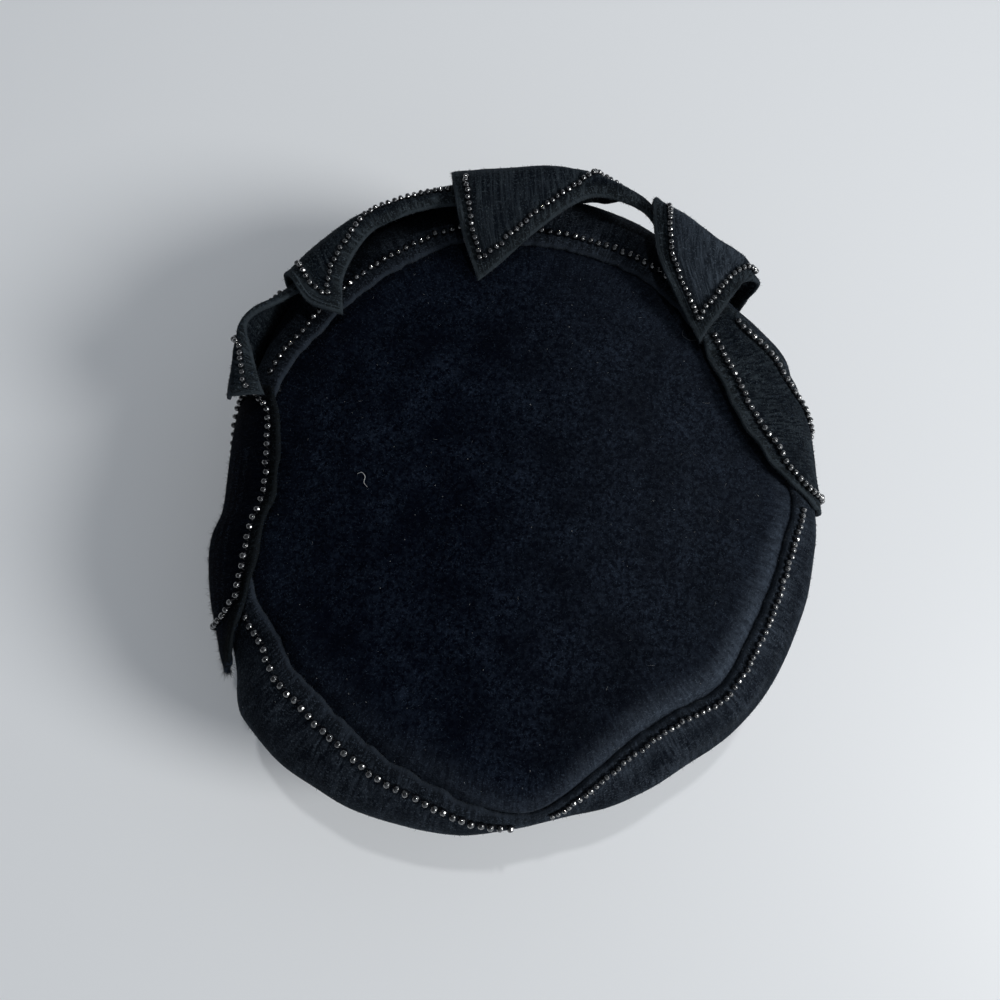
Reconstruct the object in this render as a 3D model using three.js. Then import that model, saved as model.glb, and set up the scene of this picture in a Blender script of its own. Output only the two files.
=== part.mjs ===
// A brimless dress hat of black velour felt, in millimetres, +Z up.
//
// A wide soft crown stands on a turned-up cuff of the same felt. The cuff's raw upper edge
// is a rough polygon that lies on the crown, with a row of beads sewn a little way in from it.
// Six felt leaves ring the back and the sides like a wreath. The four at the back stand up,
// roll inward over the rim and come to points on the crown, and the two at the sides lie flat.
//
// Angles are degrees about +Z from +X, the wearer's left to right is along X, and -Y is the
// front. Distances "down the crown" run along the crown's profile from the middle of its top.

import * as THREE from 'three';

// Driving sizes
const FELT = 2; // thickness of cuff and leaves
const CROWN_FELT = 2.2; // thickness of the crown
const GAP = 0.4; // clearance between layers of felt
const HALF_WIDTH = 126; // half-widths that the crown's profile is drawn for, at its widest
const HEM_HALF_WIDTH = 89.5; // and at the hem
const WIDEST = 135; // distance down the crown to its widest
const HEAD_HALF_WIDTH = 89; // the crown's outside at the hem, a plain oval round the head
const HEAD_HALF_DEPTH = 95;
const HEM_HEIGHT = FELT + GAP; // the crown's lower edge stands on the turned-up hem
const BEAD = 2.6; // diameter of a bead row

// Fineness of the facets
const SLICES = 60; // round the hat
const TOP_ROWS = 9; // crown rows inside the cuff's edge
const SIDE_ROWS = 10; // rows from the cuff's edge to the hem
const LINING_TOP_ROWS = 5; // rows on the hollow side
const LINING_SIDE_ROWS = 9;
const STANDING_GRID = [6, 12]; // facets across and along a leaf
const FLAT_GRID = [5, 14];
const BEAD_SIDES = 8;
const BEAD_STEP = 8.6; // length of one facet along a bead row

const table = (columns, rows) =>
  rows.map((row) => Object.fromEntries(columns.map((name, i) => [name, row[i]])));

// Half-section of the crown's outside, from the middle of the top to the hem
const PROFILE = table(['radius', 'height'], [
  [0, 87],
  [40, 86],
  [75, 83],
  [98, 79],
  [112, 74],
  [121, 67],
  [HALF_WIDTH, 58],
  [124.5, 47],
  [118, 35],
  [107, 23],
  [97, 13],
  [91, 5],
  [HEM_HALF_WIDTH, HEM_HEIGHT],
]);

// The hat from above: how far the cuff's outside stands from the middle at its widest
const OUTLINE = table(['angle', 'radius'], [
  [-175, 119.8],
  [-170, 125],
  [-161, 128.6],
  [-152, 130.6],
  [-146, 134.2],
  [-139, 141.5],
  [-123, 142],
  [-107, 139],
  [-90, 134.5],
  [-79, 131.5],
  [-63, 129.5],
  [-47, 131.5],
  [-27, 128.5],
  [-12, 127.6],
  [6, 126],
  [18, 129.2],
  [26, 133.4],
  [34, 131.7],
  [42, 130.8],
  [55, 136],
  [72, 141],
  [90, 141],
  [110, 139],
  [135, 134],
  [150, 126.5],
  [165, 121.8],
  [178, 118.8],
]);

// The cuff's raw edge: its distance down the crown, the distance from it to the beads, and
// how far the soft crown puffs up just inside it
const EDGE = table(['angle', 'down', 'beads', 'puff'], [
  [-175, 109, 6, 0],
  [-160, 110.3, 6, 0],
  [-152, 109.5, 6, 1.5],
  [-144, 103.5, 6, 3],
  [-135, 100.5, 6, 3],
  [-125, 102, 6, 3],
  [-115, 106.5, 6, 3],
  [-105, 111.5, 6, 3.5],
  [-95, 120.5, 6, 4],
  [-87, 125, 5.5, 4.5],
  [-76, 114.5, 3.5, 4.5],
  [-67, 108.5, 3.5, 5],
  [-57, 106.5, 3.5, 5],
  [-47, 109, 3.3, 4.5],
  [-35, 108, 3.5, 3.5],
  [-25, 108.5, 3.3, 3],
  [-14, 110, 3, 2],
  [-5, 114.5, 3.5, 0],
  [10, 108.2, 5.5, 0],
  [35, 97.9, 6, 0],
  [55, 97, 6, 1],
  [72, 93.5, 6, 1.5],
  [88, 94.5, 6, 1.5],
  [100, 98.5, 6, 1.5],
  [118, 97.5, 6, 1.5],
  [133, 98.5, 6, 1.5],
  [143, 101.5, 6, 1.5],
  [151, 108, 6, 0],
  [163, 110.7, 6, 0],
]);

// Soft hollows, and folds that stand out where the depth is negative
const DENTS = table(['angle', 'down', 'depth', 'half_arc', 'half_down'], [
  [-44, 119, -1.6, 9, 5],
  [-50, 131, 2.2, 11, 7],
  [-84, 136, 1.5, 8, 16],
  [172, 30, 1.8, 60, 26],
  [-60, 62, 1.5, 30, 22],
]);

// The four standing leaves, a row for each section along the leaf. Each section runs from its
// outer edge, against the cuff, up over the fold and inward to the free edge; the last row is
// the pointed end. "off" is how far the outer edge stands off the cuff, and "bow" how far the
// part between fold and free edge curves round the hat.
const SECTION = [
  'angle', 'off', 'low', 'fold_angle', 'fold', 'top', 'free_angle', 'free', 'height', 'bow'];
const STANDING = {
  leaf_back_right: table(SECTION, [
    [39.5, 1.6, 51, 39, 134, 79, 40.5, 128, 90, 0],
    [46, 2.2, 53, 43.5, 130, 91, 40, 118, 90.5, 0.5],
    [52, 2.9, 57, 50, 126.5, 94, 38.5, 107.5, 89.5, 2.5],
    [58, 2.6, 64, 57, 127.5, 94, 37.5, 99.5, 87.5, 5.5],
    [64, -1, 79, 63, 127.4, 93, 36, 93, 86, 9.5],
  ]),
  leaf_back: table(SECTION, [
    [59, -8.5, 79, 60, 126.6, 85, 60, 123.6, 84, 0],
    [66, -3, 79, 66, 130.6, 88.5, 65, 127.4, 87, 0],
    [74, 2, 62, 74, 132.4, 92, 73, 125.8, 89.5, 0],
    [80, 2.8, 57, 80, 130.6, 94.5, 78, 117.5, 91.5, 0],
    [87, 3, 56, 87, 127.6, 96, 85, 103.5, 90.5, 0.5],
    [94, 4, 60, 94.6, 125, 96, 94, 90, 87.5, 1],
    [101, 4.3, 70, 101.8, 123.6, 94, 100.3, 84.6, 85.5, 1.5],
  ]),
  leaf_back_left: table(SECTION, [
    [98, 1.6, 63, 98, 124, 88.5, 98, 119.5, 86.5, 0],
    [106, 1.8, 57, 106, 124.5, 90.5, 106, 120.5, 88.5, 0],
    [114, 2.2, 54, 114, 124.3, 92, 114, 120.4, 89.5, 0],
    [122, 2.8, 56, 122, 124.6, 92.5, 121, 118.7, 89.5, 1],
    [130, 2.4, 60, 130.5, 122.3, 92, 130, 109.5, 88.5, 2.6],
    [138, 1.2, 64, 138.3, 122.6, 90.5, 136.4, 97.5, 86.5, 4.5],
  ]),
  leaf_left_upper: table(SECTION, [
    [134, -3.4, 70, 134, 119, 82, 134, 118, 81.5, 0],
    [142, 2.4, 56, 142, 122.5, 86, 142, 120.5, 86, 0],
    [149, 2, 54, 149, 127.6, 87.5, 149.6, 125.8, 88, 0],
    [155, 1.8, 56, 154.5, 123.9, 88.3, 155, 116.6, 87.5, 0],
    [160, 2.2, 67, 160, 118.8, 87.3, 159.5, 109.6, 86.5, 0],
    [164, 0, 77, 164, 116, 85.5, 162, 105.5, 85.5, 0],
  ]),
};

// The two flat leaves: inner and outer edge down the crown, and how far the leaf's middle
// layer stands off the crown; the right one starts with its point, the left one ends with it
const FLAT = {
  leaf_right: table(['angle', 'inner', 'outer', 'off'], [
    [-4.8, 125.5, 138, 3.9],
    [-3.6, 119.5, 141.5, 3.9],
    [-1, 110.5, 144.5, 3.9],
    [2.5, 103.5, 149, 3.9],
    [7, 98.5, 150.5, 4.6],
    [13, 93, 136, 4.6],
    [20, 89.5, 124, 4.3],
    [27.5, 88, 118.5, 4],
    [35, 91.8, 117, 3.9],
    [41, 97.5, 118.5, 3.9],
  ]),
  leaf_left: table(['angle', 'inner', 'outer', 'off'], [
    [158.5, 111, 125, 4],
    [161.5, 107, 134, 4],
    [166, 103, 139.5, 3.9],
    [173, 100.7, 143.5, 4],
    [180, 100.7, 144.5, 4.5],
    [188, 100.2, 144.5, 4.6],
    [196, 102.8, 144.5, 4.6],
    [202, 107.5, 144, 5.2],
    [207, 115, 143, 6],
    [210.5, 121, 141, 6.4],
    [213, 126, 138, 6],
  ]),
};

// Where the bead rows on the cuff start and end
const CUFF_ROWS = table(['name', 'from', 'to'], [
  ['beads_front_left', -152, -91],
  ['beads_front_right', -84, -6],
  ['beads_back', 52, 155],
]);

const radians = THREE.MathUtils.degToRad;

// Smooth curve through one column of a table, read at a place in its first column
function read(rows, column, key, at) {
  let i = rows.findIndex((row) => row[key] >= at);
  i = THREE.MathUtils.clamp(i < 0 ? rows.length - 1 : i, 1, rows.length - 1);
  const [a, b] = [rows[i - 1], rows[i]];
  const [before, after] = [rows[Math.max(i - 2, 0)], rows[Math.min(i + 1, rows.length - 1)]];
  const span = b[key] - a[key];
  const t = (at - a[key]) / span;
  const slopeA = ((b[column] - before[column]) / (b[key] - before[key])) * span;
  const slopeB = ((after[column] - a[column]) / (after[key] - a[key])) * span;
  const fromA = (1 + 2 * t) * (1 - t) ** 2 * a[column] + t * (1 - t) ** 2 * slopeA;
  return fromA + t * t * (3 - 2 * t) * b[column] + t * t * (t - 1) * slopeB;
}

// The same round the whole hat
const wrap = (rows) => [
  ...rows.slice(-2).map((row) => ({ ...row, angle: row.angle - 360 })),
  ...rows,
  ...rows.slice(0, 2).map((row) => ({ ...row, angle: row.angle + 360 })),
];
const [outlineRound, edgeRound] = [wrap(OUTLINE), wrap(EDGE)];
const turned = (angle) => THREE.MathUtils.euclideanModulo(angle + 180, 360) - 180;
const outline = (angle) => read(outlineRound, 'radius', 'angle', turned(angle));
const edge = (angle, column = 'down') => read(edgeRound, column, 'angle', turned(angle));

const profile = new THREE.CatmullRomCurve3(
  PROFILE.map((row) => new THREE.Vector3(row.radius, 0, row.height)), false, 'centripetal');
profile.arcLengthDivisions = 600;
const HEM = profile.getLength(); // distance down the crown to its lower edge

const polar = (angle, radius, height) => new THREE.Vector3(
  radius * Math.cos(radians(angle)), radius * Math.sin(radians(angle)), height);

const bump = (distance, half) => Math.exp(-((distance / half) ** 2));

// How far the dents and folds push the felt in
const dented = (angle, down) => DENTS.reduce((sum, dent) => {
  const turn = turned(angle - dent.angle);
  return sum + dent.depth * bump(turn, dent.half_arc) * bump(down - dent.down, dent.half_down);
}, 0);

const headOval = (angle) => 1 / Math.hypot(
  Math.cos(radians(angle)) / HEAD_HALF_WIDTH, Math.sin(radians(angle)) / HEAD_HALF_DEPTH);

// How far the profile is stretched outward: the outline at the widest, the oval at the hem
function stretch(angle, down) {
  const wide = (outline(angle) - GAP - FELT) / HALF_WIDTH;
  const narrow = headOval(angle) / HEM_HALF_WIDTH;
  return THREE.MathUtils.lerp(wide, narrow, THREE.MathUtils.smoothstep(down, WIDEST, HEM));
}

// A point of the crown's outside, or of a layer that stands "off" it
function surface(angle, down, off = 0) {
  const share = THREE.MathUtils.clamp(down / HEM, 0, 1);
  const at = profile.getPointAt(share);
  const along = profile.getTangentAt(share);
  const out = off - dented(angle, down);
  return polar(angle, at.x * stretch(angle, down) - along.z * out, at.z + along.x * out);
}

// The crown puffs up just inside the cuff's edge: distances over which it rises, where it
// starts to fall again, and how slowly it falls
const PUFF_RISE = 6;
const PUFF_CREST = 9;
const PUFF_FADE = 16;
function puffed(angle, down) {
  const inward = edge(angle) - down;
  const rise = THREE.MathUtils.clamp(inward / PUFF_RISE, 0, 1);
  return edge(angle, 'puff') * rise * bump(Math.max(inward - PUFF_CREST, 0), PUFF_FADE);
}

// Joins closed or open rows of points into faces, each split along its shorter diagonal; every
// row has the same number of points
function faces(rows, { closedRows = false, closedLoop = false } = {}) {
  const index = [];
  const points = rows.flat();
  const count = rows[0].length;
  const last = closedLoop ? rows.length : rows.length - 1;
  const across = closedRows ? count : count - 1;
  for (let i = 0; i < last; i++) {
    for (let j = 0; j < across; j++) {
      const a = i * count + j;
      const b = i * count + ((j + 1) % count);
      const c = ((i + 1) % rows.length) * count + j;
      const d = ((i + 1) % rows.length) * count + ((j + 1) % count);
      const forward = points[a].distanceTo(points[d]) <= points[b].distanceTo(points[c]);
      index.push(...(forward ? [a, b, d, a, d, c] : [b, d, c, b, c, a]));
    }
  }
  return index;
}

function geometry(points, index) {
  const made = new THREE.BufferGeometry();
  made.setAttribute('position', new THREE.Float32BufferAttribute(points.flatMap((p) => p.toArray()), 3));
  made.setIndex(index);
  made.computeVertexNormals();
  return made;
}

// Values from one end to the other in equal steps, both ends counted
const spread = (from, to, count) =>
  Array.from({ length: count + 1 }, (_, i) => THREE.MathUtils.lerp(from, to, i / count));
const slices = spread(-180, 180, SLICES).slice(0, -1);

// The crown: one skin outside and one inside, joined at the lower edge and closed at the top
function crownGeometry() {
  const downs = (angle, topRows, sideRows) => [
    ...spread(0, edge(angle), topRows).slice(1, -1), ...spread(edge(angle), HEM, sideRows)];
  const skin = (angle, places, off) =>
    places.map((down) => surface(angle, down, puffed(angle, down) - off));
  const rows = slices.map((angle) => {
    const outer = skin(angle, downs(angle, TOP_ROWS, SIDE_ROWS), 0);
    const inner = skin(angle, downs(angle, LINING_TOP_ROWS, LINING_SIDE_ROWS), CROWN_FELT);
    inner.at(-1).z = outer.at(-1).z;
    return [...outer, ...inner.reverse()];
  });
  const count = rows[0].length;
  const points = rows.flat();
  const index = faces(rows, { closedLoop: true });
  const top = points.push(surface(0, 0)) - 1;
  const under = points.push(surface(0, 0, -CROWN_FELT)) - 1;
  slices.forEach((_, i) => {
    const next = (i + 1) % SLICES;
    index.push(top, i * count, next * count);
    index.push(under, next * count + count - 1, i * count + count - 1);
  });
  return geometry(points, index);
}

// The cuff: up the crown's side from a hem that turns in under the crown's lower edge
function cuffGeometry() {
  const fromAxis = (point) => Math.hypot(point.x, point.y);
  const rows = slices.map((angle) => {
    const downs = spread(edge(angle), HEM, SIDE_ROWS);
    const outside = downs.map((down) => surface(angle, down, GAP + FELT));
    const inside = downs.map((down) => surface(angle, down, GAP)).reverse();
    const reach = fromAxis(surface(angle, HEM, -CROWN_FELT));
    const foot = fromAxis(outside.at(-1));
    const corner = fromAxis(inside[0]);
    return [
      ...outside, polar(angle, foot - FELT / 2, 0), polar(angle, reach, 0),
      polar(angle, reach, FELT), polar(angle, corner, FELT), ...inside];
  });
  return geometry(rows.flat(), faces(rows, { closedRows: true, closedLoop: true }));
}

// A sheet of felt round a surface given by place(u, t), closed along its four edges
function felt(place, across, along) {
  const layer = (side) => spread(0, 1, along).map((u) => spread(0, 1, across).map((t) => {
    const normal = leafNormal(place, u, t);
    return place(u, t).addScaledVector(normal, (side * FELT) / 2);
  }));
  const over = layer(1);
  const under = layer(-1);
  const rows = under.map((row, i) => [...row, ...over[i].slice().reverse()]);
  const count = rows[0].length;
  const index = faces(rows, { closedRows: true });
  const half = count / 2;
  for (const [start, flip] of [[0, true], [(rows.length - 1) * count, false]]) {
    for (let j = 0; j < half - 1; j++) {
      const quad = [start + j, start + j + 1, start + count - 2 - j, start + count - 1 - j];
      const [a, b, c, d] = flip ? quad.slice().reverse() : quad;
      index.push(a, b, c, a, c, d);
    }
  }
  return geometry(rows.flat(), index);
}

const NUDGE = 0.01;
function leafNormal(place, u, t) {
  const ends = (value) => [Math.max(value - NUDGE, 0), Math.min(value + NUDGE, 1)];
  const [u0, u1] = ends(u);
  const [t0, t1] = ends(t);
  const alongU = place(u1, t).sub(place(u0, t));
  const alongT = place(u, t1).sub(place(u, t0));
  return alongU.cross(alongT).normalize();
}

const rail = (points) => new THREE.CatmullRomCurve3(points, false, 'catmullrom', 0.5);

// The same rows with their share u of the way along the leaf
const spaced = (rows) => rows.map((row, i) => ({ ...row, u: i / (rows.length - 1) }));

// Where a standing leaf's wall is before it reaches the fold, as shares of the way up and in
const WALL_UP = 0.6;
const WALL_IN = 0.3;
const ROUND = 0.05; // rise between fold and free edge, as a share of the distance
const FOLD_SHARE = 0.5; // t of the fold
const PAST_FOLD = 0.1; // how far past it the beads of the pointed end run

// place(u, t) of a standing leaf: u runs to the pointed end, t from the outer to the free edge
function standingLeaf(rows) {
  const outer = rail(rows.map((row) => polar(row.angle, outline(row.angle) + row.off, row.low)));
  const fold = rail(rows.map((row) => polar(row.fold_angle, row.fold, row.top)));
  const free = rail(rows.map((row) => polar(row.free_angle, row.free, row.height)));
  const sections = spaced(rows);
  return (u, t) => {
    const [low, top, end] = [outer, fold, free].map((curve) => curve.getPoint(u));
    const wall = low.clone().lerp(top, WALL_IN);
    wall.z = THREE.MathUtils.lerp(low.z, top.z, WALL_UP);
    const half = top.clone().lerp(end, 0.5);
    const sideways = new THREE.Vector3(-half.y, half.x, 0).normalize();
    half.addScaledVector(sideways, read(sections, 'bow', 'u', u));
    half.z += ROUND * top.distanceTo(end);
    const section = new THREE.CatmullRomCurve3([low, wall, top, half, end], false, 'centripetal');
    return section.getPoint(t);
  };
}

// place(u, t) of a flat leaf, t from its outer to its inner edge
function flatLeaf(rows) {
  const columns = ['angle', 'inner', 'outer', 'off'];
  const sections = spaced(rows);
  return (u, t) => {
    const [angle, inner, outer, off] = columns.map((name) => read(sections, name, 'u', u));
    return surface(angle, THREE.MathUtils.lerp(outer, inner, t), off);
  };
}

// A row of beads as one tube along a path of points
function beadGeometry(points) {
  const path = new THREE.CatmullRomCurve3(points, false, 'centripetal');
  const ring = new THREE.Shape();
  for (let i = 0; i < BEAD_SIDES; i++) {
    const turn = (2 * Math.PI * i) / BEAD_SIDES;
    ring[i ? 'lineTo' : 'moveTo']((BEAD / 2) * Math.cos(turn), (BEAD / 2) * Math.sin(turn));
  }
  ring.closePath();
  const count = Math.ceil(path.getLength() / BEAD_STEP);
  return new THREE.ExtrudeGeometry(ring, { steps: count, bevelEnabled: false, extrudePath: path });
}

const BEAD_LIFT = 3.6 * GAP + BEAD / 2; // how far a row's middle stands off the felt
const BEAD_TURN = 5; // degrees between the points that a row on the cuff passes

function cuffBeads(row) {
  const count = Math.ceil((row.to - row.from) / BEAD_TURN);
  return beadGeometry(spread(row.from, row.to, count).map((angle) =>
    surface(angle, edge(angle) + edge(angle, 'beads'), GAP + FELT + BEAD_LIFT)));
}

// How far a walk across a leaf has to go to be a margin away from its start
const MOST_INSET = 0.9;
function inset(walk, margin) {
  let share = 0;
  while (share < MOST_INSET && walk(share).distanceTo(walk(0)) < margin) share += 0.005;
  return share;
}

const onLeaf = (place) => ([u, t]) =>
  place(u, t).addScaledVector(leafNormal(place, u, t), FELT / 2 + BEAD_LIFT);

// Where the beads of a standing leaf come out from under the next leaf, how far they are from
// the free edge there, from where on they keep the next distance, and how far from the pointed
// end they turn to run back along it, or 0 where they don't turn
const STANDING_ROWS = {
  leaf_back_right: { start: 0.12, firstMargin: 10, settled: 0.9, margin: 6, endMargin: 6 },
  leaf_back: { start: 0.22, firstMargin: 16, settled: 0.45, margin: 6.8, endMargin: 4.4 },
  leaf_back_left: { start: 0.12, firstMargin: 6, settled: 1, margin: 6, endMargin: 6 },
  leaf_left_upper: { start: 0.15, firstMargin: 16, settled: 0.62, margin: 6, endMargin: 0 },
};

// Beads of a standing leaf: along the free edge to near the point, then along the end
function standingBeads(place, { start, firstMargin, settled, margin, endMargin }) {
  const nearPoint = (1 + FOLD_SHARE) / 2;
  const endU = 1 - inset((share) => place(1 - share, nearPoint), endMargin || margin / 2);
  const marginAt = (u) => THREE.MathUtils.lerp(
    firstMargin, margin, Math.min((u - start) / (settled - start), 1));
  const freeT = (u) => 1 - inset((share) => place(u, 1 - share), marginAt(u));
  const free = spread(start, endU, 12).map((u) => [u, freeT(u)]);
  const end = spread(freeT(endU), FOLD_SHARE - PAST_FOLD, 6).slice(1).map((t) => [endU, t]);
  return beadGeometry([...free, ...(endMargin ? end : [])].map(onLeaf(place)));
}

// Where the beads of a flat leaf start, where they turn near its point, their distance from the
// edges, and whether an arch closes the row at its start
const FLAT_ROWS = {
  leaf_right: { start: 0.9, end: 0.2, margin: 6, closed: false },
  leaf_left: { start: 0.16, end: 0.74, margin: 4.6, closed: true },
};
const ARCH = 0.4; // where the arch's top is, as a share of the start
const ARCH_GAP = 0.03; // how far its two ends stay from the leaf's middle line

// Beads of a flat leaf: down the inner edge, round the point and back up the outer edge
function flatBeads(place, { start, end, margin, closed }) {
  const share = (u) => margin / place(u, 0).distanceTo(place(u, 1));
  const inner = spread(start, end, 9).map((u) => [u, 1 - share(u)]);
  const outer = spread(end, start, 9).map((u) => [u, share(u)]);
  const turn = spread(1 - share(end), share(end), 4).slice(1, -1).map((t) => [end, t]);
  const arch = [0.5 + ARCH_GAP, 0.5 - ARCH_GAP].map((t) => [start * ARCH, t]);
  const along = [...inner, ...turn, ...outer];
  const row = closed ? [arch[0], ...along, arch[1]] : along;
  return beadGeometry(row.map(onLeaf(place)));
}

// Materials
const velour = (shade) => new THREE.MeshStandardMaterial({ color: shade, roughness: 0.95, metalness: 0 });
const glass = () => new THREE.MeshStandardMaterial({ color: 0x15171b, roughness: 0.12, metalness: 0 });

function piece(name, shape, material) {
  const mesh = new THREE.Mesh(shape, material);
  mesh.name = name;
  return mesh;
}

const hat = new THREE.Group();
hat.add(piece('crown', crownGeometry(), velour(0x0b0c10)));
hat.add(piece('cuff', cuffGeometry(), velour(0x101116)));
for (const row of CUFF_ROWS) {
  hat.add(piece(row.name, cuffBeads(row), glass()));
}
for (const [name, rows] of Object.entries(STANDING)) {
  const place = standingLeaf(rows);
  hat.add(piece(name, felt(place, ...STANDING_GRID), velour(0x0e0f13)));
  hat.add(piece(`beads_${name}`, standingBeads(place, STANDING_ROWS[name]), glass()));
}
for (const [name, rows] of Object.entries(FLAT)) {
  const place = flatLeaf(rows);
  hat.add(piece(name, felt(place, ...FLAT_GRID), velour(0x0e0f13)));
  hat.add(piece(`beads_${name}`, flatBeads(place, FLAT_ROWS[name]), glass()));
}

// The origin is below the middle of the hat
const box = new THREE.Box3().setFromObject(hat);
const middle = box.getCenter(new THREE.Vector3());
hat.position.set(-middle.x, -middle.y, -box.min.z);

export default hat;
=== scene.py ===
# The looks of a brimless black velour dress hat: felt with a brushed pile and raw edges, rows of
# sewn faceted beads, stitches, stray fibres and lint. Shapes are worked out in millimetres in the
# hat's own frame, whose origin is on the table below the middle of the head opening, and go into
# the scene in metres. Angles are degrees about +Z from +X, and the front is towards -Y.
import itertools
import math

import bpy
import numpy as np
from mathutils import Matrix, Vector
from mathutils.kdtree import KDTree


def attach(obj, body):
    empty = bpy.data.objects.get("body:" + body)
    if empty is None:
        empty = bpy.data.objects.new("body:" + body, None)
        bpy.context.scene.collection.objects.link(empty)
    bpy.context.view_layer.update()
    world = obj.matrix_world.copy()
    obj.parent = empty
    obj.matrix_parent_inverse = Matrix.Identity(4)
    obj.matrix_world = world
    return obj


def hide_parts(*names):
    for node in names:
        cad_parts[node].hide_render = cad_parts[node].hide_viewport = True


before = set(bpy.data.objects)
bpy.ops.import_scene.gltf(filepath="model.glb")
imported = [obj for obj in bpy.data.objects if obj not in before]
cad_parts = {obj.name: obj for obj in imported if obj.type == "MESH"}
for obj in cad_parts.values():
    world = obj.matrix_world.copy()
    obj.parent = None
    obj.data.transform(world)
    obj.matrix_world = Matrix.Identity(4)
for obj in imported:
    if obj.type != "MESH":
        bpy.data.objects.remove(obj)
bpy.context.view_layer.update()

MM = 0.001

# Felt and beads
FELT = 2.0
CROWN_FELT = 2.2
GAP = 0.4  # clearance between layers of felt
BEAD_SUNK = 0.5  # how deep the beads press into the pile
THREAD = 0.34

# The crown's profile and its head oval
HALF_WIDTH = 126.0
HEM_HALF_WIDTH = 89.5
WIDEST = 135.0
HEAD_HALF_WIDTH = 89.0
HEAD_HALF_DEPTH = 95.0
HEM_HEIGHT = FELT + GAP

# Fineness of the visible meshes
CROWN_SLICES = 480
CROWN_TOP_ROWS = 90
CROWN_SIDE_ROWS = 16
CUFF_SLICES = 840
CUFF_ROWS_ACROSS = 45
LEAF_ALONG = 120
LEAF_ACROSS = 54

# Camera: where the photo was taken from, in the hat's own frame
CAMERA_AT = (-6.0, -82.0, 366.0)
CAMERA_LENS = 27.0
CAMERA_SENSOR = 36.0
CAMERA_NEAR = 0.01
CAMERA_DOWN = 75.8  # degrees below the horizon


def table(columns, rows):
    """A table as {column: array}."""
    return {name: np.array([row[i] for row in rows], float) for i, name in enumerate(columns)}


PROFILE = table(["radius", "height"], [
    [0, 87],
    [40, 86],
    [75, 83],
    [98, 79],
    [112, 74],
    [121, 67],
    [HALF_WIDTH, 58],
    [124.5, 47],
    [118, 35],
    [107, 23],
    [97, 13],
    [91, 5],
    [HEM_HALF_WIDTH, HEM_HEIGHT],
])

OUTLINE = table(["angle", "radius"], [
    [-175, 119.8],
    [-170, 125],
    [-161, 128.6],
    [-152, 130.6],
    [-146, 134.2],
    [-139, 141.5],
    [-123, 142],
    [-107, 139],
    [-90, 134.5],
    [-79, 131.5],
    [-63, 129.5],
    [-47, 131.5],
    [-27, 128.5],
    [-12, 127.6],
    [6, 126],
    [18, 129.2],
    [26, 133.4],
    [34, 131.7],
    [42, 130.8],
    [55, 136],
    [72, 141],
    [90, 141],
    [110, 139],
    [135, 134],
    [150, 126.5],
    [165, 121.8],
    [178, 118.8],
])

# The cuff's raw edge: its distance down the crown, how far below it the beads are sewn, and how
# far the crown puffs up above it
EDGE = table(["angle", "down", "beads", "puff"], [
    [-175, 109, 6, 0],
    [-160, 110.3, 6, 0],
    [-152, 109.5, 6, 1.5],
    [-144, 103.5, 6, 3],
    [-135, 100.5, 6, 3],
    [-125, 102, 6, 3],
    [-115, 106.5, 6, 3],
    [-105, 111.5, 6, 3.5],
    [-95, 120.5, 6, 4],
    [-87, 125, 5.5, 4.5],
    [-76, 114.5, 3.5, 4.5],
    [-67, 108.5, 3.5, 5],
    [-57, 106.5, 3.5, 5],
    [-47, 109, 3.3, 4.5],
    [-35, 108, 3.5, 3.5],
    [-25, 108.5, 3.3, 3],
    [-14, 110, 3, 2],
    [-5, 114.5, 3.5, 0],
    [10, 108.2, 5.5, 0],
    [35, 97.9, 6, 0],
    [55, 97, 6, 1],
    [72, 93.5, 6, 1.5],
    [88, 94.5, 6, 1.5],
    [100, 98.5, 6, 1.5],
    [118, 97.5, 6, 1.5],
    [133, 98.5, 6, 1.5],
    [143, 101.5, 6, 1.5],
    [151, 108, 6, 0],
    [163, 110.7, 6, 0],
])

# Dents and folds: where they are, how deep, and half their size round and down the crown
DENTS = table(["angle", "down", "depth", "half_arc", "half_down"], [
    [-44, 119, -1.6, 9, 5],
    [-50, 131, 2.2, 11, 7],
    [-84, 136, 1.5, 8, 16],
    [172, 30, 1.8, 60, 26],
    [-60, 62, 1.5, 30, 22],
])

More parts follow.
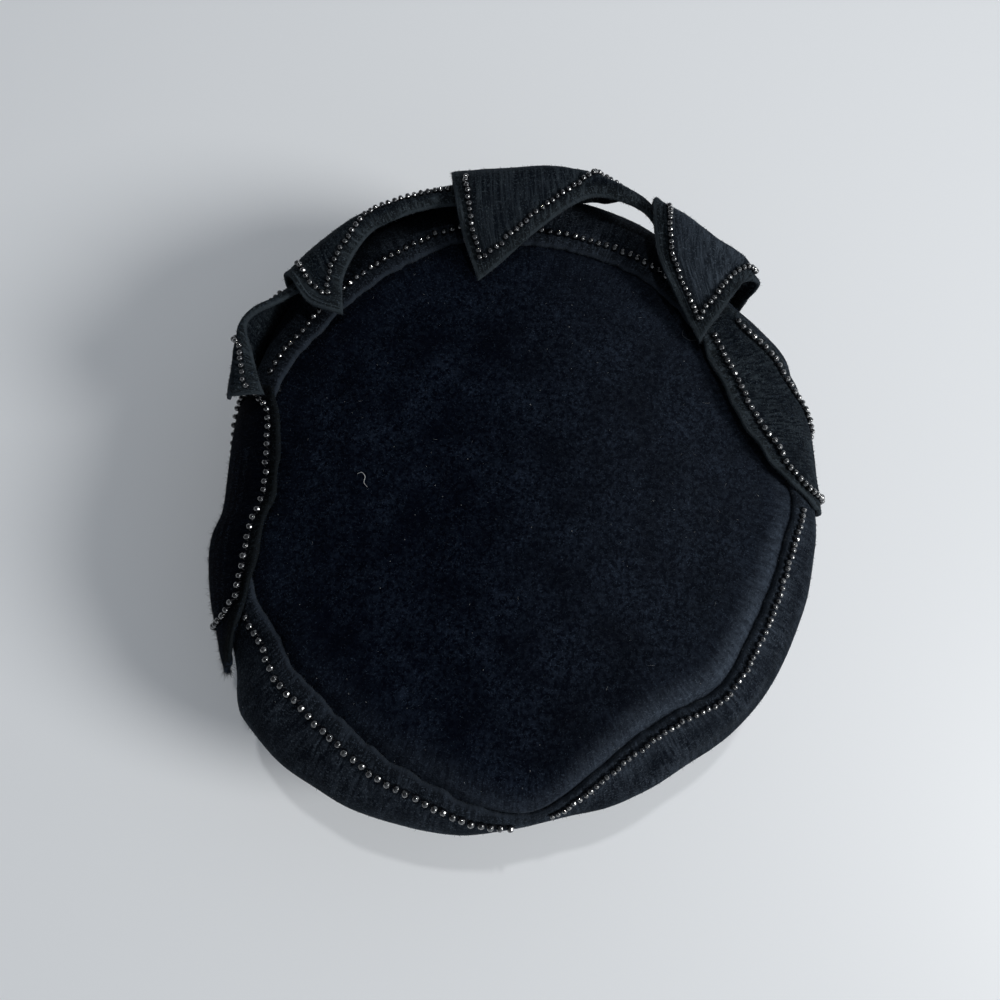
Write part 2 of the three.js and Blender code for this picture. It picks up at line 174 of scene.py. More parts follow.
# Sections of the standing leaves, from the hidden end to the point: the outer edge, by its angle,
# distance off the outline and height, the fold over the rim and the free edge, each by angle,
# radius and height, and how far the roll between these two bows sideways
SECTION = ["angle", "off", "low", "fold_angle", "fold", "top", "free_angle", "free", "height", "bow"]
STANDING = {
    "leaf_back_right": table(SECTION, [
        [39.5, 1.6, 51, 39, 134, 79, 40.5, 128, 90, 0],
        [46, 2.2, 53, 43.5, 130, 91, 40, 118, 90.5, 0.5],
        [52, 2.9, 57, 50, 126.5, 94, 38.5, 107.5, 89.5, 2.5],
        [58, 2.6, 64, 57, 127.5, 94, 37.5, 99.5, 87.5, 5.5],
        [64, -1, 79, 63, 127.4, 93, 36, 93, 86, 9.5],
    ]),
    "leaf_back": table(SECTION, [
        [59, -8.5, 79, 60, 126.6, 85, 60, 123.6, 84, 0],
        [66, -3, 79, 66, 130.6, 88.5, 65, 127.4, 87, 0],
        [74, 2, 62, 74, 132.4, 92, 73, 125.8, 89.5, 0],
        [80, 2.8, 57, 80, 130.6, 94.5, 78, 117.5, 91.5, 0],
        [87, 3, 56, 87, 127.6, 96, 85, 103.5, 90.5, 0.5],
        [94, 4, 60, 94.6, 125, 96, 94, 90, 87.5, 1],
        [101, 4.3, 70, 101.8, 123.6, 94, 100.3, 84.6, 85.5, 1.5],
    ]),
    "leaf_back_left": table(SECTION, [
        [98, 1.6, 63, 98, 124, 88.5, 98, 119.5, 86.5, 0],
        [106, 1.8, 57, 106, 124.5, 90.5, 106, 120.5, 88.5, 0],
        [114, 2.2, 54, 114, 124.3, 92, 114, 120.4, 89.5, 0],
        [122, 2.8, 56, 122, 124.6, 92.5, 121, 118.7, 89.5, 1],
        [130, 2.4, 60, 130.5, 122.3, 92, 130, 109.5, 88.5, 2.6],
        [138, 1.2, 64, 138.3, 122.6, 90.5, 136.4, 97.5, 86.5, 4.5],
    ]),
    "leaf_left_upper": table(SECTION, [
        [134, -3.4, 70, 134, 119, 82, 134, 118, 81.5, 0],
        [142, 2.4, 56, 142, 122.5, 86, 142, 120.5, 86, 0],
        [149, 2, 54, 149, 127.6, 87.5, 149.6, 125.8, 88, 0],
        [155, 1.8, 56, 154.5, 123.9, 88.3, 155, 116.6, 87.5, 0],
        [160, 2.2, 67, 160, 118.8, 87.3, 159.5, 109.6, 86.5, 0],
        [164, 0, 77, 164, 116, 85.5, 162, 105.5, 85.5, 0],
    ]),
}

# Sections of the flat leaves, from end to end: how far down the crown the inner and the outer edge
# are, and how far the leaf stands off the crown
FLAT_COLUMNS = ["angle", "inner", "outer", "off"]
FLAT = {
    "leaf_right": table(FLAT_COLUMNS, [
        [-4.8, 125.5, 138, 3.9],
        [-3.6, 119.5, 141.5, 3.9],
        [-1, 110.5, 144.5, 3.9],
        [2.5, 103.5, 149, 3.9],
        [7, 98.5, 150.5, 4.6],
        [13, 93, 136, 4.6],
        [20, 89.5, 124, 4.3],
        [27.5, 88, 118.5, 4],
        [35, 91.8, 117, 3.9],
        [41, 97.5, 118.5, 3.9],
    ]),
    "leaf_left": table(FLAT_COLUMNS, [
        [158.5, 111, 125, 4],
        [161.5, 107, 134, 4],
        [166, 103, 139.5, 3.9],
        [173, 100.7, 143.5, 4],
        [180, 100.7, 144.5, 4.5],
        [188, 100.2, 144.5, 4.6],
        [196, 102.8, 144.5, 4.6],
        [202, 107.5, 144, 5.2],
        [207, 115, 143, 6],
        [210.5, 121, 141, 6.4],
        [213, 126, 138, 6],
    ]),
}

# Rows of beads on the cuff: from and to, in degrees
CUFF_BEADS = {
    "beads_front_left": (-152, -91),
    "beads_front_right": (-84, -6),
    "beads_back": (52, 155),
}

# Rows on the standing leaves: where they come out from under the next leaf, how far they are
# from the free edge there, from where on they keep the next distance, and how far from the
# pointed end they turn to run back along it, or 0 where they don't turn
STANDING_BEADS = {
    "leaf_back_right": (0.12, 10, 0.9, 6, 6),
    "leaf_back": (0.22, 16, 0.45, 6.8, 4.4),
    "leaf_back_left": (0.12, 6, 1, 6, 6),
    "leaf_left_upper": (0.15, 16, 0.62, 6, 0),
}

# Rows on the flat leaves: where they start, where they turn near the point, how far they are from
# the edges, and whether they join at the start
FLAT_BEADS = {"leaf_right": (0.9, 0.2, 6, False), "leaf_left": (0.16, 0.74, 4.6, True)}

# Spacing of the beads along each row, and their diameter
BEAD_SIZES = {
    "beads_front_left": (3.85, 3.1),
    "beads_front_right": (2.65, 2.5),
    "beads_back": (3.6, 2.9),
    "beads_leaf_back_right": (2.55, 2.55),
    "beads_leaf_back": (2.8, 2.6),
    "beads_leaf_back_left": (2.9, 2.6),
    "beads_leaf_left_upper": (2.8, 2.6),
    "beads_leaf_right": (3.1, 2.8),
    "beads_leaf_left": (3.8, 2.8),
}


# Reading the tables

def read(rows, column, key, at):
    """Smooth curve through one column of a table, read at places in another column."""
    keys = rows[key]
    values = rows[column]
    at = np.asarray(at, float)
    i = np.clip(np.searchsorted(keys, at, side="left"), 1, len(keys) - 1)
    before = np.maximum(i - 2, 0)
    after = np.minimum(i + 1, len(keys) - 1)
    span = keys[i] - keys[i - 1]
    t = (at - keys[i - 1]) / span
    slope_a = (values[i] - values[before]) / (keys[i] - keys[before]) * span
    slope_b = (values[after] - values[i - 1]) / (keys[after] - keys[i - 1]) * span
    from_a = (1 + 2 * t) * (1 - t) ** 2 * values[i - 1] + t * (1 - t) ** 2 * slope_a
    return from_a + t * t * (3 - 2 * t) * values[i] + t * t * (t - 1) * slope_b


def wrapped(rows):
    """A table in degrees, continued past both ends so that it reads smoothly all round."""
    return {
        name: np.concatenate([
            values[-2:] - 360 * (name == "angle"), values, values[:2] + 360 * (name == "angle")])
        for name, values in rows.items()
    }


OUTLINE_ROUND = wrapped(OUTLINE)
EDGE_ROUND = wrapped(EDGE)


def turned(angle):
    return np.mod(np.asarray(angle, float) + 180, 360) - 180


def outline(angle):
    return read(OUTLINE_ROUND, "radius", "angle", turned(angle))


def edge(angle, column="down"):
    return read(EDGE_ROUND, column, "angle", turned(angle))


TINY = 1e-6  # keeps a division by a length from failing


def unit(vectors):
    """Vectors made 1 long."""
    return vectors / np.maximum(np.linalg.norm(vectors, axis=-1, keepdims=True), TINY)


def catmull(points, t, tension=None):
    """Catmull-Rom curve through points (count, 3), read at t from 0 to 1: centripetal, or uniform
    where a tension is given. With points (..., count, 3) each t has a curve of its own."""
    first = 2 * points[..., :1, :] - points[..., 1:2, :]
    last = 2 * points[..., -1:, :] - points[..., -2:-1, :]
    ext = np.concatenate([first, points, last], axis=-2)
    count = points.shape[-2]
    place = np.clip(t, 0, 1) * (count - 1)
    i = np.minimum(place.astype(int), count - 2)
    w = (place - i)[..., None]
    if points.ndim == 2:
        p0, p1, p2, p3 = (ext[i + k] for k in range(4))
    else:
        p0, p1, p2, p3 = (
            np.take_along_axis(ext, (i + k)[..., None, None], axis=-2)[..., 0, :] for k in range(4))
    if tension is None:
        d0, d1, d2 = (
            np.maximum(np.linalg.norm(b - a, axis=-1, keepdims=True), TINY) ** 0.5
            for a, b in ((p0, p1), (p1, p2), (p2, p3)))
        m1 = ((p1 - p0) / d0 - (p2 - p0) / (d0 + d1) + (p2 - p1) / d1) * d1
        m2 = ((p2 - p1) / d1 - (p3 - p1) / (d1 + d2) + (p3 - p2) / d2) * d1
    else:
        m1 = tension * (p2 - p0)
        m2 = tension * (p3 - p1)
    c2 = -3 * p1 + 3 * p2 - 2 * m1 - m2
    c3 = 2 * p1 - 2 * p2 + m1 + m2
    return p1 + m1 * w + c2 * w ** 2 + c3 * w ** 3


def smoothstep(x, low, high):
    share = np.clip((x - low) / (high - low), 0, 1)
    return share * share * (3 - 2 * share)


def bump(distance, half):
    return np.exp(-((distance / half) ** 2))


# The crown's surface

PROFILE_STEPS = 4001


def profile_samples():
    flat = np.stack([PROFILE["radius"], np.zeros(len(PROFILE["radius"])), PROFILE["height"]], axis=1)
    points = catmull(flat, np.linspace(0, 1, PROFILE_STEPS))
    return points, lengths(points)


def lengths(path):
    """Distance along a path at each of its points."""
    return np.concatenate([[0], np.cumsum(np.linalg.norm(np.diff(path, axis=0), axis=1))])


PROFILE_POINTS, PROFILE_DOWN = profile_samples()
HEM = PROFILE_DOWN[-1]  # distance down the crown to its lower edge
PROFILE_TANGENTS = np.gradient(PROFILE_POINTS, PROFILE_DOWN, axis=0)


def on_profile(down, samples):
    down = np.clip(down, 0, HEM)
    return [np.interp(down, PROFILE_DOWN, samples[:, k]) for k in (0, 2)]


def dented(angle, down):
    """How far the dents and folds push the felt in."""
    depth = 0
    for k in range(len(DENTS["angle"])):
        turn = turned(angle - DENTS["angle"][k])
        arc = bump(turn, DENTS["half_arc"][k])
        depth = depth + DENTS["depth"][k] * arc * bump(down - DENTS["down"][k], DENTS["half_down"][k])
    return depth


def stretch(angle, down):
    """How far the profile is stretched outward: to the outline at its widest, and to the head oval
    at the hem."""
    wide = (outline(angle) - GAP - FELT) / HALF_WIDTH
    turn = np.radians(angle)
    oval = 1 / np.hypot(np.cos(turn) / HEAD_HALF_WIDTH, np.sin(turn) / HEAD_HALF_DEPTH)
    narrow = oval / HEM_HALF_WIDTH
    return wide + (narrow - wide) * smoothstep(down, WIDEST, HEM)


def polar(angle, radius, height):
    turn = np.radians(angle)
    flat = np.broadcast_arrays(radius * np.cos(turn), radius * np.sin(turn), height)
    return np.stack(flat, axis=-1).astype(float)


def surface(angle, down, off=0.0):
    """A point of the crown's outside, or of a layer that stands off it."""
    radius, height = on_profile(down, PROFILE_POINTS)
    along_radius, along_height = on_profile(down, PROFILE_TANGENTS)
    out = off - dented(angle, down)
    return polar(angle, radius * stretch(angle, down) - along_height * out, height + along_radius * out)


# How the crown puffs up inside the cuff's edge: from where to where it rises, where its crest
# ends, and over what distance it sinks back
PUFF_START = -1.0
PUFF_RISE = 6.0
PUFF_CREST = 9.0
PUFF_FADE = 16.0


def puffed(angle, down):
    """How far the soft crown puffs up just inside the cuff's edge."""
    inward = edge(angle) - down
    rise = smoothstep(inward, PUFF_START, PUFF_RISE)
    return edge(angle, "puff") * rise * bump(np.maximum(inward - PUFF_CREST, 0), PUFF_FADE)


# Small unevenness

WAVES = 14  # in one field
WAVE_SPREAD = (0.75, 1.4)  # their lengths, as shares of the length asked for


def waves(points, length, seed):
    """A smooth random field over points in millimetres, about -1 to 1, with waves of one length."""
    rng = np.random.default_rng(seed)
    field = np.zeros(points.shape[:-1])
    for _ in range(WAVES):
        way = rng.normal(size=3)
        way *= 2 * math.pi / (length * rng.uniform(*WAVE_SPREAD) * np.linalg.norm(way))
        field += np.sin(points @ way + rng.uniform(0, 2 * math.pi))
    return field / math.sqrt(WAVES)


def uneven(points, layers, seed):
    """The sum of fields of waves, each given by height and length, with seeds that follow on."""
    return sum(height * waves(points, length, seed + k) for k, (height, length) in enumerate(layers))


# Meshes

class Grid:
    """A sheet of felt: rows of points on its upper side, and the same on its under side."""

    def __init__(self, upper, under, closed):
        self.upper = upper
        self.under = under
        self.closed = closed  # whether the last row joins the first


RIM_BULGE = 0.12  # how far a cut edge stands out in the middle of the felt
EDGE_ROUNDING = 1.3  # how far in from a cut edge the felt starts to get thinner
EDGE_LEAST = 0.42  # share of its thickness that is left there


def thinned(distance):
    """Share of the felt's thickness at a distance from a cut edge, which is softly rounded."""
    share = 1 - np.clip(distance / EDGE_ROUNDING, 0, 1)
    return EDGE_LEAST + (1 - EDGE_LEAST) * np.sqrt(1 - share ** 2)


def toward_ends(count, amount):
    """Shares from 0 to 1 that lie closer together near both ends, by an amount up to 1."""
    even = np.linspace(0, 1, count)
    return (1 - amount) * even + amount * (1 - np.cos(math.pi * even)) / 2


def rim_points(middle, inner):
    """The middle line of a cut edge, pushed away from the next line within the felt."""
    return middle + RIM_BULGE * unit(middle - inner)


def slab_faces(rows, count, closed):
    """Quads of a closed loop of points swept along rows."""
    i = np.arange(rows if closed else rows - 1)
    j = np.arange(count)
    a = i[:, None] * count + j
    b = i[:, None] * count + (j + 1) % count
    c = ((i + 1) % rows)[:, None] * count + j
    d = ((i + 1) % rows)[:, None] * count + (j + 1) % count
    return np.stack([a, b, d, c], axis=-1).reshape(-1, 4)


UPPER, CUT, UNDER = range(3)  # where a vertex of a leaf lies: CUT is its cut edge


def slab(name, upper, under):
    """A closed mesh of a sheet with four cut edges, from the points on its two sides. Returns the
    object, and for each vertex where it lies."""
    rows, count = upper.shape[:2]
    core = (upper + under) / 2
    right = rim_points(core[:, -1], core[:, -2])
    left = rim_points(core[:, 0], core[:, 1])
    loop = np.concatenate([upper, right[:, None], under[:, ::-1], left[:, None]], axis=1)
    size = loop.shape[1]
    kind = np.full((rows, size), UPPER)
    kind[:, count + 1:-1] = UNDER
    kind[:, [count, -1]] = CUT
    points = [loop.reshape(-1, 3)]
    faces = [slab_faces(rows, size, False)]
    added = np.arange(count - 2)
    for row, inner, way in ((0, 1, 1), (rows - 1, rows - 2, -1)):
        start = row * size
        top = start + np.arange(count)
        bottom = start + size - 2 - np.arange(count)
        before = sum(len(made) for made in points)
        middle = np.concatenate([[start + size - 1], before + added, [start + count]])
        points.append(rim_points(core[row, 1:-1], core[inner, 1:-1]))
        for p, q in ((top, middle), (middle, bottom)):
            faces.append(np.stack([p[:-1], q[:-1], q[1:], p[1:]], axis=-1)[:, ::way])
    obj = mesh_object(name, np.concatenate(points), np.concatenate(faces)[:, ::-1].tolist())
    return obj, np.append(kind, np.full(2 * len(added), CUT))


def mesh_object(name, points, faces):
    """A mesh in the scene from points in millimetres in the hat's own frame."""
    mesh = bpy.data.meshes.new(name)
    mesh.from_pydata(((points + MIDDLE) * MM).tolist(), [], faces)
    mesh.update()
    mesh.shade_smooth()
    return add_object(name, mesh)


def add_object(name, data):
    obj = bpy.data.objects.new(name, data)
    bpy.context.scene.collection.objects.link(obj)
    return obj


def joined(parts):
    """The points and faces of several meshes, given as pairs of the two, as one."""
    points, faces, base = [], [], 0
    for made, made_faces in parts:
        points.append(made)
        faces += [[base + corner for corner in face] for face in made_faces]
        base += len(made)
    return np.concatenate(points), faces


def attribute(obj, name, values):
    """Stores a number for each vertex, for the materials."""
    made = obj.data.attributes.new(name, "FLOAT", "POINT")
    made.data.foreach_set("value", np.asarray(values, np.float32).ravel())


LEVEL_WITHIN = 0.01  # the hem's ring is no higher than this above the lowest point


def hat_middle():
    """Where the hat's own origin is in the scene, in millimetres: the middle of the hem's ring."""
    points = np.array([v.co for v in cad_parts["cuff"].data.vertices]) / MM
    ring = points[points[:, 2] < points[:, 2].min() + LEVEL_WITHIN]
    middle = (ring.min(0) + ring.max(0)) / 2
    return np.array([middle[0], middle[1], 0.0])


MIDDLE = hat_middle()


def nearest(points, targets):
    """For each point, the index of the nearest target and its distance."""
    tree = KDTree(len(targets))
    for i, target in enumerate(targets):
        tree.insert(target, i)
    tree.balance()
    found = [tree.find(p) for p in points]
    return np.array([f[1] for f in found]), np.array([f[2] for f in found])


def interpolated(places, along, values):
    """Values (count, 3) along a path, read at other distances along it."""
    return np.stack([np.interp(places, along, values[:, k]) for k in range(3)], axis=1)


# Felt that is drawn in where beads are sewn on it

SEAM_DEPTH = 0.45
SEAM_HALF = 1.8
SEAM_FROM_EDGE = 2  # how far from a cut edge the felt can be drawn in fully
PUCKER = 0.16
PUCKER_HALF = 2.6


def drawn_in(points, row):
    """How far a row of beads draws the felt in at each point, and the distance to that row."""
    index, distance = nearest(points.reshape(-1, 3), row["path"])
    along = lengths(row["path"])[index]
    pucker = PUCKER * np.cos(2 * math.pi * along / row["pitch"]) * bump(distance, PUCKER_HALF)
    depth = SEAM_DEPTH * bump(distance, SEAM_HALF) + pucker
    return depth.reshape(points.shape[:-1]), distance.reshape(points.shape[:-1])


def evenly(path, normals, spacing):
    """Points and normals at an even spacing along a path."""
    along = lengths(path)
    count = max(int(round(along[-1] / spacing)), 1)
    places = np.linspace(0, along[-1], count + 1)
    return interpolated(places, along, path), unit(interpolated(places, along, normals))


# Marks on the felt, for its material

BRUSHED_AND_PAINTED_LIGHT_AT = 4.0  # how far inside the cuff's edge the puffed pile is brushed up most, with a painted highlight on it
BRUSHED_AND_PAINTED_LIGHT_HALF = 7.0
BRUSHED_AND_PAINTED_LIGHT_TOWARDS = -48  # the direction in which the pile is brushed up and painted lightest, as if lit
BRUSHED_AND_PAINTED_LIGHT_ARC = 52
RIGHT_PAINTED_LIGHT = 0.22  # how much lighter the whole right half is painted, as painted light from the right
RIGHT_PAINTED_LIGHT_SPAN = -30, 90  # where across the hat that sets in
CROWN_COMBED = 0.5  # share of the grain that is drawn out in streaks near the cuff
CROWN_COMBED_SPAN = 8, 26  # how far inside the cuff's edge that ends
CUFF_COMBED = 0.75
# the lighter line along a cut edge is partly the cut felt and partly a painted highlight
CUFF_RIM_HALF = 0.5
LEAF_RIM_HALF = 0.4
MARGIN_SPAN = 1.0, 5.5  # where the bare margin along a cut edge ends
SEAM_BARE = 0.35  # how bare the felt is round the beads
SEAM_BARE_HALF = 2.2
SEAM_BRUSHED_AND_PAINTED_LIGHT = 0.5  # how far the pile of the cuff is pulled up round the beads and painted lighter, partly a painted highlight
SEAM_BRUSHED_AND_PAINTED_LIGHT_HALF = 6
UNDER_BARE = 0.5  # how bare the margin of a leaf is on its under side
STREAK_SHARE = 0.16  # how much slower the streaks change along the pile than across it
STREAK_SHIFT = 31.0  # sets the streaks of the leaves apart
FAR = 1e3


def brushed_and_painted_light_share(points):
    """How strongly the pile is brushed up and painted lighter as a painted highlight, which is most at
    the front right.
    """
    angle = np.degrees(np.arctan2(points[..., 1], points[..., 0]))
    return bump(turned(angle - BRUSHED_AND_PAINTED_LIGHT_TOWARDS), BRUSHED_AND_PAINTED_LIGHT_ARC)


def margin_tone(from_edge, from_seam):
    """How much greyer the bare, flattened felt is near a raw edge and round the beads, 0 to 1."""
    near = 1 - smoothstep(from_edge, *MARGIN_SPAN)
    return np.maximum(near, SEAM_BARE * bump(from_seam, SEAM_BARE_HALF))


def streaks(obj, coordinates):
    """Stores where each vertex is in the pattern of streaks, for the materials."""
    made = obj.data.attributes.new("streak", "FLOAT_VECTOR", "POINT")
    made.data.foreach_set("vector", (coordinates * MM).astype(np.float32).ravel())


def from_axis(points):
    return np.hypot(points[:, 0], points[:, 1])


def combed_round(points):
    """Coordinates that run along the pile of the crown and the cuff, for streaks in it."""
    angle = np.arctan2(points[:, 1], points[:, 0])
    around = HALF_WIDTH * np.stack([np.cos(angle), np.sin(angle)], axis=1)
    away = np.hypot(from_axis(points), HEM_HALF_WIDTH - points[:, 2])
    return np.concatenate([around, STREAK_SHARE * away[:, None]], axis=1)


# The crown

CROWN_FIRST_ROW = 0.4  # distance from the crown's middle
CROWN_SPREAD = 0.8  # below 1 the rows lie closer together away from the middle
CROWN_WAVES = ((0.55, 52), (0.25, 19), (0.07, 6))
CROWN_WAVES_SPAN = -2, 14  # how far inside the cuff's edge they set in
CROWN_SEED = 3


def crown_grid():
    """The crown's felt, and how far inside the cuff's edge each of its places is."""
    angles = np.linspace(-180, 180, CROWN_SLICES, endpoint=False)
    inward = np.linspace(0, 1, CROWN_TOP_ROWS) ** CROWN_SPREAD
    below = np.linspace(0, 1, CROWN_SIDE_ROWS + 1)[1:]
    line = edge(angles)[:, None]
    top = CROWN_FIRST_ROW + (line - CROWN_FIRST_ROW) * inward
    downs = np.concatenate([top, line + (HEM - line) * below], axis=1)
    turns = np.broadcast_to(angles[:, None], downs.shape)
    puff = puffed(turns, downs)
    swell = uneven(surface(turns, downs, puff), CROWN_WAVES, CROWN_SEED)
    inside = line - downs
    upper = surface(turns, downs, puff + swell * smoothstep(inside, *CROWN_WAVES_SPAN))
    under = surface(turns, downs, puff - CROWN_FELT)[:, ::-2][:, ::-1]
    under[:, -1, 2] = upper[:, -1, 2]
    return Grid(upper, under, True), inside


def make_crown():
    """The crown's shell, closed at its lower edge, with a point in the middle of both sides."""
    grid, inside = crown_grid()
    rows = len(grid.upper)
    loop = np.concatenate([grid.upper, grid.under[:, ::-1]], axis=1)
    size = loop.shape[1]
    middles = [side[:, 0].mean(0) for side in (grid.upper, grid.under)]
    points = np.concatenate([loop.reshape(-1, 3), middles])
    faces = slab_faces(rows, size, True)
    faces = faces[faces[:, 0] % size != size - 1][:, ::-1]
    first = np.arange(rows) * size
    following = np.roll(first, -1)
    top = np.full(rows, rows * size)
    fans = np.concatenate([
        np.stack([first, following, top], axis=1),
        np.stack([following + size - 1, first + size - 1, top + 1], axis=1)])
    obj = mesh_object("crown_shell", points, faces.tolist() + fans.tolist())
    mark_crown(obj, grid.upper, inside, size)
    streaks(obj, combed_round(points))
    return obj, grid


def mark_crown(obj, upper, inside, size):
    """Marks the crown's pile on its upper side, and nothing on its under side."""
    def mark(name, values):
        below = np.zeros((len(values), size - values.shape[1]))
        attribute(obj, name, np.append(np.concatenate([values, below], axis=1), [0, 0]))

    # the crest inside the cuff's edge is brushed up and carries a painted highlight; the right half gets
    # painted light from the right
    crest = bump(inside - BRUSHED_AND_PAINTED_LIGHT_AT, BRUSHED_AND_PAINTED_LIGHT_HALF) * brushed_and_painted_light_share(upper)
    right = RIGHT_PAINTED_LIGHT * smoothstep(upper[..., 0], *RIGHT_PAINTED_LIGHT_SPAN) * (inside > 0)
    mark("brushed_and_painted_light", np.maximum(crest, right))
    mark("combed", CROWN_COMBED * (1 - smoothstep(inside, *CROWN_COMBED_SPAN)))
    for name in ("margin", "rim"):
        mark(name, np.zeros(inside.shape))


# The cuff

CUFF_SPREAD = 1.5  # above 1 the rows lie closer together near the raw edge
RAW_WAVES = ((0.35, 9), (0.21, 3.5))  # how the raw edge wanders
RAW_WAVES_HALF = 3  # how far below the edge that reaches, about
CUFF_WAVES = ((0.4, 30),)
CUFF_WAVES_SPAN = 4, 22  # how far below the raw edge they set in
CUFF_SEED = 11
HEM_TURNS = (0.15, 0.5, 0.85)  # where the hem's rounded foot has points, as shares of a right angle
HEM_BEVEL = 0.3


def cuff_grid(rows_of_beads):
    """The cuff's felt, and how far each of its places is below the raw edge and from the beads."""
    angles = np.linspace(-180, 180, CUFF_SLICES, endpoint=False)
    line = edge(angles)[:, None]
    downs = line + (HEM - line) * np.linspace(0, 1, CUFF_ROWS_ACROSS) ** CUFF_SPREAD
    turns = np.broadcast_to(angles[:, None], downs.shape)
    plain = surface(turns, downs, GAP + FELT)
    below = downs - line
    wandered = downs + uneven(plain, RAW_WAVES, CUFF_SEED) * bump(below, RAW_WAVES_HALF)
    swell = uneven(plain, CUFF_WAVES, CUFF_SEED + len(RAW_WAVES))
    off = GAP + FELT * thinned(below) + swell * smoothstep(below, *CUFF_WAVES_SPAN)
    seam = np.full(downs.shape, FAR)
    for row in rows_of_beads:
        depth, distance = drawn_in(plain, row)
        off = off - depth * smoothstep(below, 0, SEAM_FROM_EDGE)
        seam = np.minimum(seam, distance)
    upper = surface(turns, wandered, off)
    under = surface(turns, wandered, GAP)[:, ::-2][:, ::-1]
    return angles, Grid(upper, under, True), below, seam


def hem_points(angles, grid):
    """The hem that turns in under the crown's lower edge, from the cuff's outside to its inside."""
    foot = from_axis(grid.upper[:, -1])
    corner = from_axis(grid.under[:, -1])
    reach = from_axis(surface(angles, np.full(CUFF_SLICES, HEM), -CROWN_FELT))
    turns = [share * math.pi / 2 for share in HEM_TURNS]
    places = [
        (foot - FELT / 2 * (1 - math.cos(turn)), HEM_HEIGHT * (1 - math.sin(turn))) for turn in turns]
    places += [
        (foot - FELT / 2, 0), ((foot + reach) / 2, 0), (reach + HEM_BEVEL, 0), (reach, FELT / 2),
        (reach, FELT), ((corner + reach) / 2, FELT), (corner, FELT)]
    return np.stack([polar(angles, radius, height) for radius, height in places], axis=1)


def make_cuff(rows_of_beads):
    """The cuff's band with its hem."""
    angles, grid, below, seam = cuff_grid(rows_of_beads)
    core = [(grid.upper[:, k] + grid.under[:, k]) / 2 for k in (0, 1)]
    rim = rim_points(*core)[:, None]
    loop = np.concatenate([grid.upper, hem_points(angles, grid), grid.under[:, ::-1], rim], axis=1)
    size = loop.shape[1]
    points = loop.reshape(-1, 3)
    faces = slab_faces(CUFF_SLICES, size, True)[:, ::-1]
    obj = mesh_object("cuff_band", points, faces.tolist())

    def everywhere(values, rest, at_rim):
        """Values on the upper side, then one for the rest and one for the cut edge."""
        others = np.full((CUFF_SLICES, size - values.shape[1]), float(rest))
        others[:, -1] = at_rim
        return np.concatenate([values, others], axis=1)

    seams = everywhere(seam, FAR, FAR)
    attribute(obj, "margin", margin_tone(everywhere(below, FAR, 0), seams))
    attribute(obj, "rim", everywhere(bump(below, CUFF_RIM_HALF), 0, 1))
    # the pile round the beads is pulled up and painted lighter towards the front right, partly a painted
    # highlight
    attribute(obj, "brushed_and_painted_light", SEAM_BRUSHED_AND_PAINTED_LIGHT * bump(seams, SEAM_BRUSHED_AND_PAINTED_LIGHT_HALF) * brushed_and_painted_light_share(loop))
    attribute(obj, "combed", np.full(len(points), CUFF_COMBED))
    streaks(obj, combed_round(points))
    return obj, grid


# The leaves

WALL_UP = 0.6  # how far up a leaf's wall its middle point is
WALL_IN = 0.3  # and how far in
ROUND = 0.05  # rise of the roll for each millimetre of its width
FOLD_SHARE = 0.5  # t at the fold
NUDGE = 0.01
LEAF_CROWDED_ALONG = 0.5
LEAF_CROWDED_ACROSS = 0.75
LEAF_WAVES = ((0.35, 26), (0.12, 8))
LOOSE_LEAST = 0.3  # share of the waves that is left at the outer edge
CURL = 0.5  # how far the edges curl up and down
CURL_HALF = 2.5
CURL_LENGTH = 12
EDGE_STEPS_ALONG = 500
EDGE_STEPS_ACROSS = 200
FRAYED_LEAF_IN_PAINTED_SHADE = "leaf_left"  # painted darker than the others as shade, with a frayed end
LEAF_PAINTED_LIGHT_SPAN = 4, 7  # how far from the edges the painted light on the face sets in

# How much lighter the faces of the leaves are painted: painted light on faces that turn to the light
LEAF_PAINTED_LIGHT = {
    "leaf_back_right": 0.7,
    "leaf_back": 0.15,
    "leaf_back_left": 0.0,
    "leaf_left_upper": 0.0,
    "leaf_right": 0.05,
    "leaf_left": 0.0,
}


def shares_along(rows):
    return {**rows, "u": np.linspace(0, 1, len(rows["angle"]))}


def matched(u, t):
    return np.broadcast_arrays(np.asarray(u, float), np.asarray(t, float))


def standing_place(rows):
    """place(u, t) of a standing leaf: u runs to the pointed end, t from the outer to the free edge."""
    outer = polar(rows["angle"], outline(rows["angle"]) + rows["off"], rows["low"])
    fold = polar(rows["fold_angle"], rows["fold"], rows["top"])
    free = polar(rows["free_angle"], rows["free"], rows["height"])
    sections = shares_along(rows)

    def place(u, t):
        u, t = matched(u, t)
        low, top, end = (catmull(curve, u, tension=0.5) for curve in (outer, fold, free))
        wall = low + WALL_IN * (top - low)
        wall[..., 2] = low[..., 2] + WALL_UP * (top[..., 2] - low[..., 2])
        half = (top + end) / 2
        sideways = unit(np.stack([-half[..., 1], half[..., 0], 0 * half[..., 0]], axis=-1))
        half = half + sideways * read(sections, "bow", "u", u)[..., None]
        half[..., 2] += ROUND * np.linalg.norm(top - end, axis=-1)
        return catmull(np.stack([low, wall, top, half, end], axis=-2), t)

    return place


def flat_place(rows):
    """place(u, t) of a flat leaf, t from its outer to its inner edge."""
    sections = shares_along(rows)

    def place(u, t):
        u, t = matched(u, t)
        angle, inner, outer, off = (read(sections, name, "u", u) for name in FLAT_COLUMNS)
        return surface(angle, outer + (inner - outer) * t, off)

    return place


def leaf_normal(place, u, t):
    u, t = matched(u, t)
    along = place(np.minimum(u + NUDGE, 1), t) - place(np.maximum(u - NUDGE, 0), t)
    across = place(u, np.minimum(t + NUDGE, 1)) - place(u, np.maximum(t - NUDGE, 0))
    return unit(np.cross(along, across))


